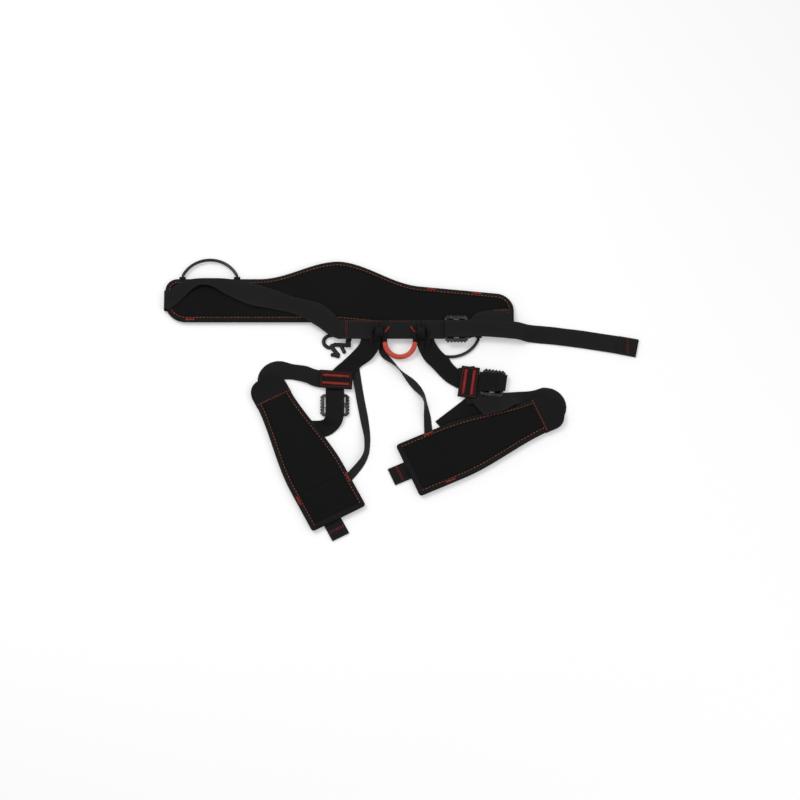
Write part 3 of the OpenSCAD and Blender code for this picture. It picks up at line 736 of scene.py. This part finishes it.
def boundTape(name, outlineAt):
    # tape folded round the edge, a little thicker than the pad it wraps
    wide = pad["tapeWidth"]
    # inset from the edge and lift over the pad
    over = ((wide, -0.15), (wide, 0.55), (9.6, 0.35), (6.5, 0.6), (3.0, 0.55))
    loops = [(d, -padHalf(d) - lift) for d, lift in over]
    loops += [(0.7, -2.4), (0.1, -0.9), (0.1, 0.9), (0.7, 2.4)]
    loops += [(d, padHalf(d) + lift) for d, lift in reversed(over)]
    outlines = {d: outlineAt(d) for d, _ in loops}
    n = len(outlines[0.7])
    rings = [[Vector((*outlines[d][i], padMid + z)) for d, z in loops] for i in range(n)]
    around, along = [0.0], [0.0]
    for j in range(len(loops)):
        around.append(around[-1] + (rings[0][(j + 1) % len(loops)] - rings[0][j]).length)
    for i in range(n):
        along.append(along[-1] + (rings[(i + 1) % n][5] - rings[i][5]).length)
    rims = [0.5 if 4 <= j <= 9 else 0.0 for j in range(len(loops))]
    shape = Shape()
    shape.rings(rings, around, along, rims, True)
    return shape.make(name, edgeTape)


def inLeg(which, path):
    return [atLeg(which, u, v) for u, v in path]


seamEnd = legHalf(leg["seamAt"]) - leg["seamInset"]
legSeam = [(leg["seamAt"], -seamEnd), (leg["seamAt"], seamEnd)]
waistPad = settle(paddedBody("waistPad", waistOutline, waistCloth, [], 1.0), "waist", "pad_lining",
                  "waist_pad_shell", "waist_pad_foam", "waist_pad_lining")
waistTape = settle(boundTape("waistEdgeTape", waistOutline), "waist", "edge_tape", "waist_pad_binding")
legPads, legTapes = {}, {}
for side, which, finish in (("left", leftLeg, legLeftCloth), ("right", rightLeg, legRightCloth)):
    def legAt(d):
        return inLeg(which, legOutline(d))

    title, body = "leg" + side.capitalize(), "leg_" + side
    padded = paddedBody(title + "Pad", legAt, finish, [inLeg(which, legSeam)], 7.0 + which[2])
    legPads[side] = settle(padded, body, "pad_lining",
                           body + "_pad_shell", body + "_pad_foam", body + "_pad_lining")
    legTapes[side] = settle(boundTape(title + "EdgeTape", legAt), body, "edge_tape", body + "_pad_binding")
print("pads made")

# Webbing; the heights are those of its underside on the pad, over the band and over the buckle
web = {"width": 44.0, "thick": 2.2, "beltY": 158.0, "beltZ": 14.8, "tailZ": 17.3, "overZ": 21.6,
       "foldX": -511.4, "foldY": 229.0}
tail = {"startX": 249.0, "long": 264.0, "y": 155.0, "bend": 36.0, "fall": 42.0}


def betweenEdges(edgeA, edgeB, thick):
    # track of a strap given by the undersides of its two edges, so that it can lean, twist and bunch
    n = max(8, round(sum(math.dist(a, b) for a, b in zip(edgeA, edgeA[1:])) / trackStep))
    fine = [easedRoute([(*p, 0.0, 1.0) for p in edge], 1.0) for edge in (edgeA, edgeB)]
    out = []
    for i in range(n + 1):
        a, b = [Vector(points[round(i * (len(points) - 1) / n)][:3]) for points in fine]
        out.append(((a + b) / 2 + Vector((0, 0, thick / 2)), (b - a).normalized(), (b - a).length))
    return out


def waistWrap():
    # one strap: under the pad, round its left end and back over it
    half, cross = web["thick"] / 2, Vector((0, 1, 0))
    track = []
    for i in range(50):
        x = mix(waistX1 - 1.0, -500.0, i / 49)
        track.append((Vector((x, waistLow(x) + waist["endHeight"] / 2, half)), cross, web["width"]))
    top = web["beltZ"] + half
    fx = web["foldX"]
    for x, z in ((-506.5, half), (fx + 1.6, half + 0.5), (fx + 0.3, half + 2.2), (fx, half + 5),
                 (fx, top - 5), (fx + 0.3, top - 2.2), (fx + 1.6, top - 0.5), (-506.5, top)):
        track.append((Vector((x, web["foldY"], z)), cross, web["width"]))
    # the two edges run apart and together again where the strap bunches
    lower = [(-500, 207, 14.9), (-482, 220, 15.0), (-458, 245, 17.5), (-436, 260, 22.0), (-410, 258, 21.5),
             (-378, 240, 17.5), (-327, 216, 15.2), (-270, 204, 15.0), (-227, 193, 15.0), (-180, 166, 15.0),
             (-150, 143, 14.9), (-128, 135, 14.4)]
    upper = [(-500, 251, 14.9), (-482, 266, 15.0), (-458, 276, 15.4), (-436, 278.5, 16.0), (-410, 279, 15.6),
             (-378, 278, 15.0), (-327, 269, 15.0), (-270, 250, 15.3), (-227, 233, 16.0), (-180, 221, 16.6),
             (-152, 204, 15.8), (-128, 179, 14.4)]
    track += betweenEdges(lower, upper, web["thick"])
    shape = Shape()
    shape.strap(track, web["thick"], lambda p: 1.8 * step01((p.x + 420) / 60) * step01((-150 - p.x) / 60)
                if p.z > 10 else 0.0, seed=2.0)
    return shape.make("waistWrapStrap", webbing)


waistStrap = settle(waistWrap(), "waist", "webbing",
                    "waist_outer_webbing", "waist_left_fold", "waist_webbing_left")


def flatStrap(name, route, finish, loose=0.0, seed=0.0, more=()):
    # more are further plies of the same strap
    shape = Shape()
    shape.strap(trackOf(route, web["thick"]), web["thick"], loose, seed)
    for extra in more:
        shape.strap(trackOf(extra, web["thick"]), web["thick"])
    return shape.make(name, finish)


beltRoute = [(x, web["beltY"], web["beltZ"], -90, 44) for x in (-135.6, -60, 40, 146.9)]
frontBelt = settle(flatStrap("frontBelt", beltRoute, webbing), "waist", "webbing", "waist_webbing_front")
bandRoute = [(147.3, web["beltY"], web["beltZ"], -90, 44), (177.3, 172, web["beltZ"], -90, 58),
             (243, 174, web["beltZ"], -90, 66)]
rightBand = settle(flatStrap("rightBand", bandRoute, webbing), "waist", "webbing", "waist_webbing_right")


def tailY(run):
    return tail["y"] - tail["bend"] * run ** 1.5


tailRoute = laid([(97, 158, web["overZ"]), (147.3, 158, web["overZ"]), (169.3, 161, web["tailZ"]),
                  (217, 158, web["tailZ"])], 40, -90)
for i in range(9):
    s = i / 8
    x = tail["startX"] + tail["long"] * s
    z = web["tailZ"] * (1 - step01((x - tail["startX"]) / tail["fall"]))
    tailRoute.append((x, tailY(s), z, -90 - 11 * s ** 0.5, 41 + s))
tailEnd = [(471, tailY(222 / tail["long"]), 2.4, -100, 42), (492, tailY(243 / tail["long"]), 2.4, -101, 42),
           (512.4, 119.3, 2.4, -101, 42)]      # the end is turned back and sewn
waistTail = flatStrap("waistTail", tailRoute, webbing, lambda p: 1.6 if p.x > 300 else 0.3, 4.0, [tailEnd])
across(waistTail, "waist", "waist_tail", (240, 155, 18), (258, 155, 18), "webbing",
       "waist_tail_root", "waist_tail_end")
print("waist straps made")


def camel(node):
    first, *rest = node.split("_")
    return first + "".join(word.capitalize() for word in rest)


# Buckles, hook and tabs are the frame's own solids with softened edges
def softened(node, finish, body, slotName, round):
    mesh = bpy.data.meshes.new(camel(node))
    work = bmesh.new()
    work.from_mesh(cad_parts[node].data)
    bmesh.ops.remove_doubles(work, verts=work.verts, dist=0.00002)
    bmesh.ops.dissolve_limit(work, angle_limit=math.radians(2), verts=work.verts, edges=work.edges)
    work.to_mesh(mesh)
    work.free()
    mesh.materials.clear()
    mesh.materials.append(finish)
    piece = addObject(camel(node), mesh)
    edge = piece.modifiers.new("edge", "BEVEL")
    edge.width, edge.segments, edge.limit_method = round * 0.001, 2, "ANGLE"
    edge.angle_limit = math.radians(35)
    edge.use_clamp_overlap = True
    applied(piece)
    outward(piece)
    return settle(piece, body, slotName, node)


for body in ("waist", "leg_left", "leg_right"):
    softened(body + "_buckle_frame", frameSteel, body, "buckle_steel", 0.5)
    softened(body + "_buckle_bar", barSteel, body + "_bar", "bar_steel", 0.25)


def tubes(name, finish, runs):
    # several rounded bars as one moulded piece
    shape = Shape()
    for points, radius, squeeze in runs:
        fine = easedRoute([(*p, 0, 1) for p in points], 2.0)
        shape.tube([Vector(p[:3]) for p in fine],
                   lambda t: radius * min(1.0, 0.35 + t * 9, 0.35 + (1 - t) * 9), squeeze=squeeze)
    return shape.make(name, finish)


hookRuns = [([(-111, 126, 3.4), (-126, 127, 3.4), (-140, 127, 3.4), (-152, 123, 3.4)], 4.6, 0.7),
            ([(-143, 149, 3.4), (-155, 148, 3.4), (-164, 140, 3.4), (-164, 129, 3.4), (-155, 121, 3.4),
              (-145, 123, 3.4), (-140, 132, 3.4)], 4.2, 0.78),
            ([(-151, 125, 3.4), (-141, 113, 3.4), (-131, 101, 3.4)], 4.7, 0.7),
            ([(-128, 126, 3.4), (-123, 116, 3.4), (-119, 107, 3.4)], 4.3, 0.74),
            ([(-150, 104, 3.4), (-141, 103, 3.4), (-130, 99, 3.4)], 4.5, 0.72)]
settle(tubes("riserHook", hookPlastic, hookRuns), "hook", "hook_plastic", "riser_hook")
print("buckles made")

# Leg straps
fanRadius = 24.0
block = {"long": 72.0, "z": 7.5}


def turn(centre, first, last):
    # webbing folded round an arc, from one angle to another
    out = []
    for i in range(7):
        a = mix(first, last, i / 6)
        x, y = turned(fanRadius, 0, a)
        out.append((centre[0] + x, centre[1] + y, 0.0, a if last > first else a - 180, web["width"]))
    return out


def legFan(which, last):
    # the webbing sewn along a pad's outer face, then its turn round the narrow end
    row, u0 = (6.0, -164.0) if which[2] > 0 else (-8.0, -150.0)
    first = which[1] - 90 * which[2]
    sweep = turn(atLeg(which, u0, row + fanRadius), first, last)
    places = [atLeg(which, mix(176.0, u0 + 8, i / 12), row) for i in range(13)]
    return [(*place, 0.0, sweep[0][3], web["width"]) for place in places] + sweep


leftSweep = legFan(leftLeg, -277)
lastLeft = leftSweep[-1]
leftBlock, rightBlock = (-138.0, 44.0, -4.0), (148.0, 38.0, -8.0)      # place and turn
blockX = leftBlock[0] - block["long"] / 2
leftBandRoute = leftSweep + [((lastLeft[0] * 2 + blockX) / 3, lastLeft[1] - 4, 1.25, -97, 36),
                             ((lastLeft[0] + 2 * blockX) / 3, lastLeft[1] - 11, 5, -97, 38),
                             (blockX, leftBlock[1] + 3, 5, -94, 40),
                             (blockX + block["long"], leftBlock[1] - 2, 5, -94, 40)]
settle(flatStrap("legLeftBand", leftBandRoute, webbing), "leg_left", "webbing",
       "leg_left_outer_webbing", "leg_left_band")


def edgedStrap(name, edgeA, edgeB, finish, more):
    shape = Shape()
    shape.strap(betweenEdges(edgeA, edgeB, web["thick"]), web["thick"])
    for extra in more:
        shape.strap(trackOf(extra, web["thick"]), web["thick"])
    return shape.make(name, finish)


rightSweep = legFan(rightLeg, 455)
upperEdge = [(307.5, 28.4, 0.1), (282.3, 20.6, 0.1), (250, 18, 0.3), (215, 14, 2.4), (186, 8, 5.0),
             (150, -1.5, 6.4)]
lowerEdge = [(311.3, -12.0, 0.1), (288, -9, 0.1), (275, -8.0, 1.2), (264, -10.6, 4.3), (254, -14.2, 11.6),
             (244, -19, 14.8), (232, -27, 15.0), (212, -35, 15.0), (180, -42, 13.8)]
lowPly = [(300, -1, 0, 98, 38), (286, -1, 0, 98, 40), (255, -5, 0, 98, 44), (228, -10, 0, 98, 46)]
underBlock = [(163, -10, 4.6, 8, 38), (158, 6, 4.8, 8, 37), (151, 30, 5.0, 8, 36), (143, 74, 5.0, 8, 36)]
settle(edgedStrap("legRightBand", upperEdge, lowerEdge, webbing, [rightSweep, lowPly, underBlock]),
       "leg_right", "webbing", "leg_right_outer_webbing", "leg_right_band")


def stitchedBlock(name, place, angle, width):
    # cover ply over the crossing straps
    route = []
    for i in range(5):
        x, y = turned(mix(-block["long"] / 2, block["long"] / 2, i / 4), 0, angle)
        route.append((place[0] + x, place[1] + y, block["z"], angle - 90, width))
    return flatStrap(name, route, darkWebbing)


settle(stitchedBlock("legLeftStitchedBlock", leftBlock, leftBlock[2], 42), "leg_left", "webbing",
       "leg_left_stitched_block")
settle(stitchedBlock("legRightStitchedBlock", rightBlock, rightBlock[2] + 90, 40), "leg_right", "webbing",
       "leg_right_stitched_block")

leftTie = [(-62, 144, 12.3, 172, 44), (-66, 122, 10.3, 165, 44), (-82, 100, 7.4, 158, 45),
           (-104, 82, 2.5, 170, 46), (-124, 62, 2.5, 164, 44), (-138, 40, 2.5, 178, 42),
           (-140, 23, 2.5, 180, 40), (-140, 15, 0, 180, 40), (-140, -35, 0, 180, 40)]
across(flatStrap("legLeftTieStrap", leftTie, darkWebbing), "waist", "leg_left", (-100, 90, 4), (-100, 74, 4),
       "webbing", "leg_left_tie_strap_upper", "leg_left_tie_strap_lower")
rightTie = [(52, 144, 12.3, 200, 40), (58, 122, 10.8, 208, 40), (70, 100, 10, 214, 42),
            (88, 82, 7.6, 222, 42), (102, 66, 2.5, 230, 40), (118, 52, 2.5, 240, 40),
            (148, 39, 2.5, 262, 40), (207, 37, 2.5, 264, 36)]
across(flatStrap("legRightTieStrap", rightTie, darkWebbing), "waist", "leg_right", (88, 90, 8), (88, 74, 8),
       "webbing", "leg_right_tie_strap_upper", "leg_right_tie_strap_lower")
leftAdjuster = [(-140, 19, 5, 180, 40), (-140, 11, 6.8, 180, 40), (-141, -43, 6.8, 180, 40),
                (-153, -60, 1.1, 140, 40), (-168, -67, 0, 106, 40), (-193, -68, 0, 96, 40)]
settle(flatStrap("legLeftAdjusterStrap", leftAdjuster, darkWebbing), "leg_left", "webbing",
       "leg_left_adjuster_strap")
tipX, tipY = atLeg(rightLeg, 70, legHalf(70) - 7)
rightAdjuster = laid([(212, 28, 0), ((212 + tipX) / 2, (22 + tipY) / 2, 0), (tipX, tipY - 3, 0)], 58)
settle(flatStrap("legRightAdjusterStrap", rightAdjuster, darkWebbing), "leg_right", "webbing",
       "leg_right_adjuster_strap")
pleats = [(169 + 5.5 * i, 39 - 0.25 * i, 9.4 if i % 2 else 11.6, 262, 44 + (i % 2)) for i in range(9)]
pleats += [(222, 35.6, 9.4, 262, 38), (229, 35, 9.3, 262, 38)]
settle(flatStrap("legRightStrapReturn", pleats, darkWebbing), "leg_right", "webbing",
       "leg_right_strap_return")


def tailTab(name, which, v):
    # webbing folded back on itself, with its loop at the free end
    half, u0, u1 = web["thick"] / 2, 173.0, 217.0      # starts under the pad's bound end
    side = Vector((*turned(0, which[2], which[1]), 0))
    path = [(u0, half), (190, half), (200, half), (u1 - 2.6, half), (u1 - 1.3, half + 0.4),
            (u1 - 1.1, half * 2), (u1 - 1.3, half * 3 - 0.4), (u1 - 2.6, half * 3),
            (200, half * 3 + 0.1), (190, half * 3 + 0.1), (u0, half * 3)]
    shape = Shape()
    shape.strap([(Vector((*atLeg(which, u, v), z)), side, 40.0) for u, z in path], web["thick"] - 0.1)
    return shape.make(name, webbing)


settle(tailTab("legLeftTailTab", leftLeg, -15), "leg_left", "webbing", "leg_left_tail_tab")
settle(tailTab("legRightTailTab", rightLeg, 3), "leg_right", "webbing", "leg_right_tail_tab")


def riser(name, route, body):
    # elastic tape; the last number of each point is how far it has rolled on to its edge, in degrees
    half = 0.95
    track = []
    plain = easedRoute(laid([p[:3] for p in route], 18, 0), 4.0)
    rolls = easedRoute([(p[0], p[1], p[3], 0.0, 1.0) for p in route], 4.0)
    for i, (x, y, z, angle, width) in enumerate(plain):
        near = round(i * (len(rolls) - 1) / (len(plain) - 1))
        roll, a = math.radians(rolls[near][2]), math.radians(angle)
        side = Vector((math.cos(a) * math.cos(roll), math.sin(a) * math.cos(roll), math.sin(roll)))
        track.append((Vector((x, y, z + half + abs(math.sin(roll)) * (width / 2 - half))), side, width))
    shape = Shape()
    shape.strap(track, half * 2)
    x = next(p[0] for p in route if p[1] < 90)      # where it crosses the fold line
    return across(shape.make(name, elastic), "waist", body, (x, 90, 1), (x, 74, 1), "elastic",
                  body + "_riser_upper", body + "_riser_lower")


leftEnd, rightEnd = atLeg(leftLeg, 110, legHalf(110) - 16), atLeg(rightLeg, 110, legHalf(110) - 18)
leftRise = [(-62, 188, 0, 0), (-64, 165, 0, 0), (-74, 135, 0, 0), (-88, 105, 0, 0), (-96, 82, 0, 0),
            (-93, 50, 0, 0), (-85, 0, 0, 12), (-76, -50, 0, 8), (-70, -100, 0, 40), (-78, -140, 0, 55)]
rightRise = [(-38, 188, 0, 0), (-38, 135, 0, 0), (-34, 104, 0, 0), (-14, 82, 0, 30), (8, 58, 0, 72),
             (34, 30, 0, 12), (52, 0, 0, 68), (58, -35, 0, 30)]
riser("legLeftRiser", leftRise + [(*leftEnd, 0, 0)], "leg_left")
riser("legRightRiser", rightRise + [(*rightEnd, 0, 0)], "leg_right")


def tipCuff(name, which):
    # webbing cover over the narrow end of a leg pad
    tip, root, bend = -180.6, -126.0, 30.6
    rings = []
    for i in range(15):
        u = mix(tip, root, (i / 14) ** 1.3)
        half = legHalf(u) + 0.6
        if u < -150:
            half += math.sqrt(max(1.0, bend ** 2 - (-150 - u) ** 2)) - bend
        ring = []
        for z, order in ((1, range(13)), (-1, reversed(range(13)))):
            for j in order:
                v = half * math.sin(math.pi / 2 * (j / 6 - 1))
                d = max(0.0, min(half - abs(v), u - tip))
                lift = max(0.0, padHalf(d) + 0.9 - (0 if d > 1 else 0.8 * (1 - d)))
                ring.append(Vector((*atLeg(which, u, v), padMid + z * min(lift, 5.75 if z < 0 else 6.1))))
        rings.append(ring)
    n = len(rings[0])
    around = [0.0]
    for j in range(n):
        around.append(around[-1] + (rings[6][(j + 1) % n] - rings[6][j]).length)
    shape = Shape()
    shape.rings(rings, around, [i * 4.0 for i in range(15)], [0.0] * n)
    return shape.make(name, darkWebbing)


cuffs = {"left": settle(tipCuff("legLeftTipCuff", leftLeg), "leg_left", "webbing"),
         "right": settle(tipCuff("legRightTipCuff", rightLeg), "leg_right", "webbing")}
print("leg straps made")

# Tie-in eyes and belay bridge
bridge = {"eyeY": 146.0, "eyeZ": 26.3, "bore": 5.6, "eyeX": 45.3, "eyeWide": 16.0, "half": 32.0, "run": 20.0,
          "tilt": 20.0, "web": 4.7, "webInside": 3.4, "sleeve": 5.5, "sleeveEnd": 4.9}


def tieInEye(name, x):
    # strap that leaves the belt, passes round the bridge and comes back to the belt
    half, wide = 1.5, bridge["eyeWide"]
    r = bridge["bore"] + half + 0.1
    path = [(174.0, 18.9), (168, 19.0), (161, 22.5)]
    for i in range(15):
        a = math.radians(mix(62, 318, i / 14))
        path.append((bridge["eyeY"] + r * math.cos(a), bridge["eyeZ"] + r * math.sin(a)))
    path += [(158, 19.7), (166, 18.8), (171, 18.6)]
    route = [(Vector((x, y, z)), Vector((1, 0, 0)), wide) for y, z in path]
    shape = Shape()
    shape.strap(route[:18], half * 2 - 0.4)
    shape.strap(route[16:], half * 2 - 1.2)
    # flattened cord loop that frames the eye and runs down to the tie strap
    inward = 1 if x < 0 else -1
    loop = [(-9, 108, 11.8), (-14, 118, 13.8), (-16, 129, 17.8), (-16, 143, 19.2), (-13, 157, 19.4),
            (-4, 166, 21.8), (5, 165, 21.6), (11, 158, 19.6)]
    fine = easedRoute([(x + inward * off, y, z, 0, 1) for off, y, z in loop], 2.5)
    shape.tube([Vector(p[:3]) for p in fine],
               lambda t: 3.8 * min(1.0, 0.8 + 4 * t, 0.45 + 4 * (1 - t)), 12, 0.55)
    return shape.make(name, darkWebbing)


def onBridge(x, y, z):
    a = math.radians(bridge["tilt"])
    return Vector((x, bridge["eyeY"] + y * math.cos(a) - z * math.sin(a),
                   bridge["eyeZ"] + y * math.sin(a) + z * math.cos(a)))


for key, x in (("Left", -bridge["eyeX"]), ("Right", bridge["eyeX"])):
    settle(tieInEye("tieInEye" + key, x), "waist", "webbing", "tie_in_eye_" + key.lower())

bow = []
for i in range(33):
    a = math.pi * i / 32
    bow.append(onBridge(-bridge["half"] * math.cos(a),
                        -bridge["run"] - 0.3 - bridge["half"] * math.sin(a), 0))
halfAxis = bridge["eyeX"] + bridge["eyeWide"] / 2 + 1
start = [Vector((-halfAxis, bridge["eyeY"], bridge["eyeZ"])), Vector((-40, bridge["eyeY"], bridge["eyeZ"])),
         onBridge(-35.4, -1.0, 0), onBridge(-32.6, -4.5, 0), onBridge(-32, -10, 0), onBridge(-32, -20.6, 0)]
rope = start + bow[1:-1] + [Vector((-p.x, p.y, p.z)) for p in reversed(start)]
bridgeShape = Shape()
bridgeShape.tube(rope, lambda t: bridge["web"] if t < 0.2 or t > 0.8 else bridge["webInside"])
settle(bridgeShape.make("bridgeWebbing", darkWebbing), "belay_bridge", "webbing", "bridge_webbing")
sleeveShape = Shape()
sleeveShape.tube(bow, lambda t: bridge["sleeve"] if 0.02 < t < 0.98 else bridge["sleeveEnd"], 20)
settle(sleeveShape.make("bridgeSleeve", sleeveRed), "belay_bridge", "red_sleeve", "bridge_sleeve")

# Gear loops
gear = {"radius": 65.0, "tube": 3.5, "cord": 1.9, "leftX": -414.0, "leftHalf": 66.0}


def gearLoop(centre, z, first, sweep, body):
    arc = []
    for i in range(61):
        a = mix(math.radians(first), math.radians(first + sweep), i / 60)
        arc.append(Vector((centre[0] + gear["radius"] * math.cos(a),
                           centre[1] + gear["radius"] * math.sin(a), z)))
    tube, cord = Shape(), Shape()
    tube.tube(arc, lambda t: gear["tube"] if 0.012 < t < 0.988 else gear["tube"] - 0.5, 18)
    settle(tube.make(camel(body) + "Tube", glossyTube), body, "glossy_tube", body + "_tube")
    # the cord shows a little at both ends
    ends = [a + (a - b).normalized() * 1.5 for a, b in ((arc[0], arc[1]), (arc[-1], arc[-2]))]
    cord.tube([ends[0]] + arc + [ends[1]], gear["cord"], 10)
    settle(cord.make(camel(body) + "Cord", cordCore), body, "loop_cord", body + "_core")


leftY = waistHigh(gear["leftX"]) + 7 - gear["radius"] * math.cos(math.radians(gear["leftHalf"]))
gearLoop((gear["leftX"], leftY), 8.5, 90 - gear["leftHalf"], 2 * gear["leftHalf"], "gear_loop_left")
gearLoop((109.0, 164.0), 3.5, 190.0, 150.0, "gear_loop_right")
for body in ("gear_loop_left", "gear_loop_right"):
    softened(body + "_tabs", darkWebbing, body, "webbing", 1.0)
softened("riser_hook_tab", darkWebbing, "waist", "webbing", 0.6)
print("bridge and gear loops made")

# Stitch rows and bar tacks, each on the highest surface below it
waistTop = Surface(waistPad, waistTape)
outline = waistOutline(pad["seamIn"])
edgeRow = onto(outline + outline[:1], waistTop)
stitchRows("waistEdgeStitching", "waist", [edgeRow], dashStitch, orangeThread, "edge_tape")
edgeBars = []
for x, edge, inset in ((-455, waistLow, 5), (68, waistHigh, -5), (167, waistHigh, -5)):
    edgeBars.append(line((x - 9, edge(x - 9) + inset), (x + 9, edge(x + 9) + inset), waistTop, 0.4))
stitchRows("waistEdgeTacks", "waist", edgeBars, dict(barStitch, Across=4.6), redThread, "edge_tape", 5)

beltTop = Surface(frontBelt, waistStrap, rightBand)
beltRows = [line(a, b, beltTop) for a, b in (((-114, 138), (-114, 178)), ((-107, 177.4), (-43, 177.4)),
                                             ((-20, 176.5), (20, 176.5)), ((-117.5, 138), (-117.5, 178)))]
stitchRows("frontBeltStitching", "waist", beltRows, fineStitch, redThread, "webbing", 7)
endRows = [line((234, waistHigh(234) - 46), (234, waistHigh(234) - 36), beltTop),
           line((229, waistHigh(229) - 40), (206, waistHigh(206) - 43), beltTop)]
stitchRows("rightBandStitching", "waist", endRows, fineStitch, orangeThread, "webbing", 8)
eyeTop = Surface(bpy.data.objects["tieInEyeLeft"], bpy.data.objects["tieInEyeRight"])
eyeBars, eyeRows = [], []
for s in (-1, 1):
    x = s * bridge["eyeX"]
    eyeBars += [line((x - s * 13, 152), (x - s * 22, 164), beltTop, 0.4),
                line((x + s * 20, 139), (x + s * 13, 151), beltTop, 0.4)]
    eyeRows += [line((x + off, 165), (x + off, 173), eyeTop) for off in (-5, 5)]
stitchRows("tieInTacks", "waist", eyeBars, dict(barStitch, Across=4.2), redThread, "webbing", 9)
stitchRows("tieInEyeStitching", "waist", eyeRows, fineStitch, redThread, "webbing", 10)
tailTop = Surface(waistTail)
tailRows = [line((x, 107), (x, 142), tailTop) for x in (491, 493.2)]
stitchRows("waistTailStitching", "waist_tail", tailRows, fineStitch, redThread, "webbing", 11)

for side, which, v in (("left", leftLeg, -15), ("right", rightLeg, 3)):
    title, body = "leg" + side.capitalize(), "leg_" + side
    padTop = Surface(legPads[side], legTapes[side], cuffs[side])
    rows, tacks = [], []
    for s in (-1, 1):
        edge = [(u, s * (legHalf(u) - pad["seamIn"])) for u in range(-124, 172, 4)]
        rows.append(onto(inLeg(which, edge), padTop))
        tack = [(u, s * (legHalf(u) - 5.5)) for u in (96, 101, 106, 111, 116)]
        tacks.append(onto(inLeg(which, tack), padTop, 0.4))
    stitchRows(title + "EdgeStitching", body, rows, dashStitch, orangeThread, "edge_tape", 13)
    cuffHalf = legHalf(-129) - 4
    crossRow = onto(inLeg(which, [(-129.5, mix(-cuffHalf, cuffHalf, i / 16)) for i in range(17)]), padTop)
    stitchRows(title + "CuffStitching", body, [crossRow], dict(fineStitch, Across=1.1),
               orangeThread, "webbing", 14)
    stitchRows(title + "EdgeTacks", body, tacks, dict(barStitch, Across=4.6), redThread, "edge_tape", 15)
    tabTop = Surface(bpy.data.objects[title + "TailTab"])
    tabRows = [onto(inLeg(which, [(u, v + w) for w in range(-15, 16, 3)]), tabTop) for u in (196, 199)]
    stitchRows(title + "TabStitching", body, tabRows, dict(fineStitch, Across=1.4), redThread, "webbing", 16)

# the two thick bars across each stitched block, inside a dashed box
for title, body, place, angle in (("legLeft", "leg_left", leftBlock, leftBlock[2]),
                                  ("legRight", "leg_right", rightBlock, rightBlock[2] + 90)):
    top = Surface(bpy.data.objects[title + "StitchedBlock"])

    def onBlock(path):
        spots = [turned(a, b, angle) for a, b in path]
        return onto([(place[0] + x, place[1] + y) for x, y in spots], top)

    bars = [onBlock([(a, b) for a in range(-28, 29, 4)]) for b in (-9, 9)]
    stitchRows(title + "BlockBars", body, bars, dict(barStitch, Across=7.4, Height=1.6),
               redThread, "webbing", 17)
    box = [(-32, -16), (32, -16), (32, 16), (-32, 16), (-32, -16)]
    boxPath = [(mix(p[0], q[0], i / 8), mix(p[1], q[1], i / 8))
               for p, q in zip(box, box[1:]) for i in range(8)]
    boxRow = onBlock(boxPath + boxPath[:1])
    stitchRows(title + "BlockBox", body, [boxRow], fineStitch, redThread, "webbing", 18)
print("stitching made")


# Floor, light and camera
studio = {"floor": 0.82, "floorHalf": 30.0, "floorZ": -0.0004, "lift": 0.23, "sky": 0.62, "key": 26.0,
          "fill": 12.0, "lens": 167.4, "distance": 8.0, "tilt": 68.0}


def whiteGround():
    # a little extra white where the camera, a mirror or glass sees it, so that shadows stay
    f = Finish("paleFloor", Base_Color=(*grey(studio["floor"]), 1), Roughness=0.9, Specular_IOR_Level=0.0)
    path = f.tree.nodes.new("ShaderNodeLightPath")
    seen = Wire(f, path.outputs["Is Camera Ray"]) + Wire(f, path.outputs["Is Glossy Ray"])
    seen = seen + Wire(f, path.outputs["Is Transmission Ray"])
    glow = f.add("ShaderNodeEmission", None, {"Strength": seen * studio["lift"]})
    both = f.add("ShaderNodeAddShader", None, {0: Wire(f, f.skin.outputs[0]), 1: glow})
    f.tree.links.new(both.socket, f.tree.nodes["Material Output"].inputs[0])
    return f.material


ground = bpy.data.meshes.new("floor")
corners = [(a * studio["floorHalf"], b * studio["floorHalf"], studio["floorZ"])
           for a, b in ((-1, -1), (1, -1), (1, 1), (-1, 1))]
ground.from_pydata(corners, [], [(0, 1, 2, 3)])
ground.materials.append(whiteGround())
addObject("floor", ground)

world = bpy.data.worlds.new("plainSky")
bpy.context.scene.world = world
world.use_nodes = True
sky = world.node_tree
back = sky.nodes["Background"]
path = sky.nodes.new("ShaderNodeLightPath")
back.inputs["Color"].default_value = (1, 1, 1, 1)
level = sky.nodes.new("ShaderNodeMapRange")
sky.links.new(path.outputs["Is Camera Ray"], level.inputs["Value"])
level.inputs["To Min"].default_value, level.inputs["To Max"].default_value = studio["sky"], 1.0
sky.links.new(level.outputs[0], back.inputs["Strength"])


def lamp(name, place, size, power):
    # a square soft box that points at the middle of the floor
    light = bpy.data.lights.new(name, "AREA")
    light.shape, light.size, light.energy = "SQUARE", size, power
    holder = bpy.data.objects.new(name, light)
    bpy.context.scene.collection.objects.link(holder)
    holder.location = place
    holder.rotation_euler = (-Vector(place)).to_track_quat("-Z", "Y").to_euler()


lamp("keyLamp", (-1.3, 0.9, 2.4), 1.2, studio["key"])
lamp("fillLamp", (1.6, -1.2, 2.0), 1.6, studio["fill"])

lens = bpy.data.cameras.new("camera")
lens.lens, lens.sensor_width = studio["lens"], 36.0
eye = bpy.data.objects.new("camera", lens)
bpy.context.scene.collection.objects.link(eye)
aim = Vector((shiftX * 0.001, shiftY * 0.001, 0))
tilt = math.radians(studio["tilt"])
eye.location = aim + Vector((0, -math.cos(tilt), math.sin(tilt))) * studio["distance"]
eye.rotation_euler = (aim - eye.location).to_track_quat("-Z", "Y").to_euler()
bpy.context.scene.camera = eye
bpy.context.scene.view_settings.view_transform = "Standard"

print("scene ready")
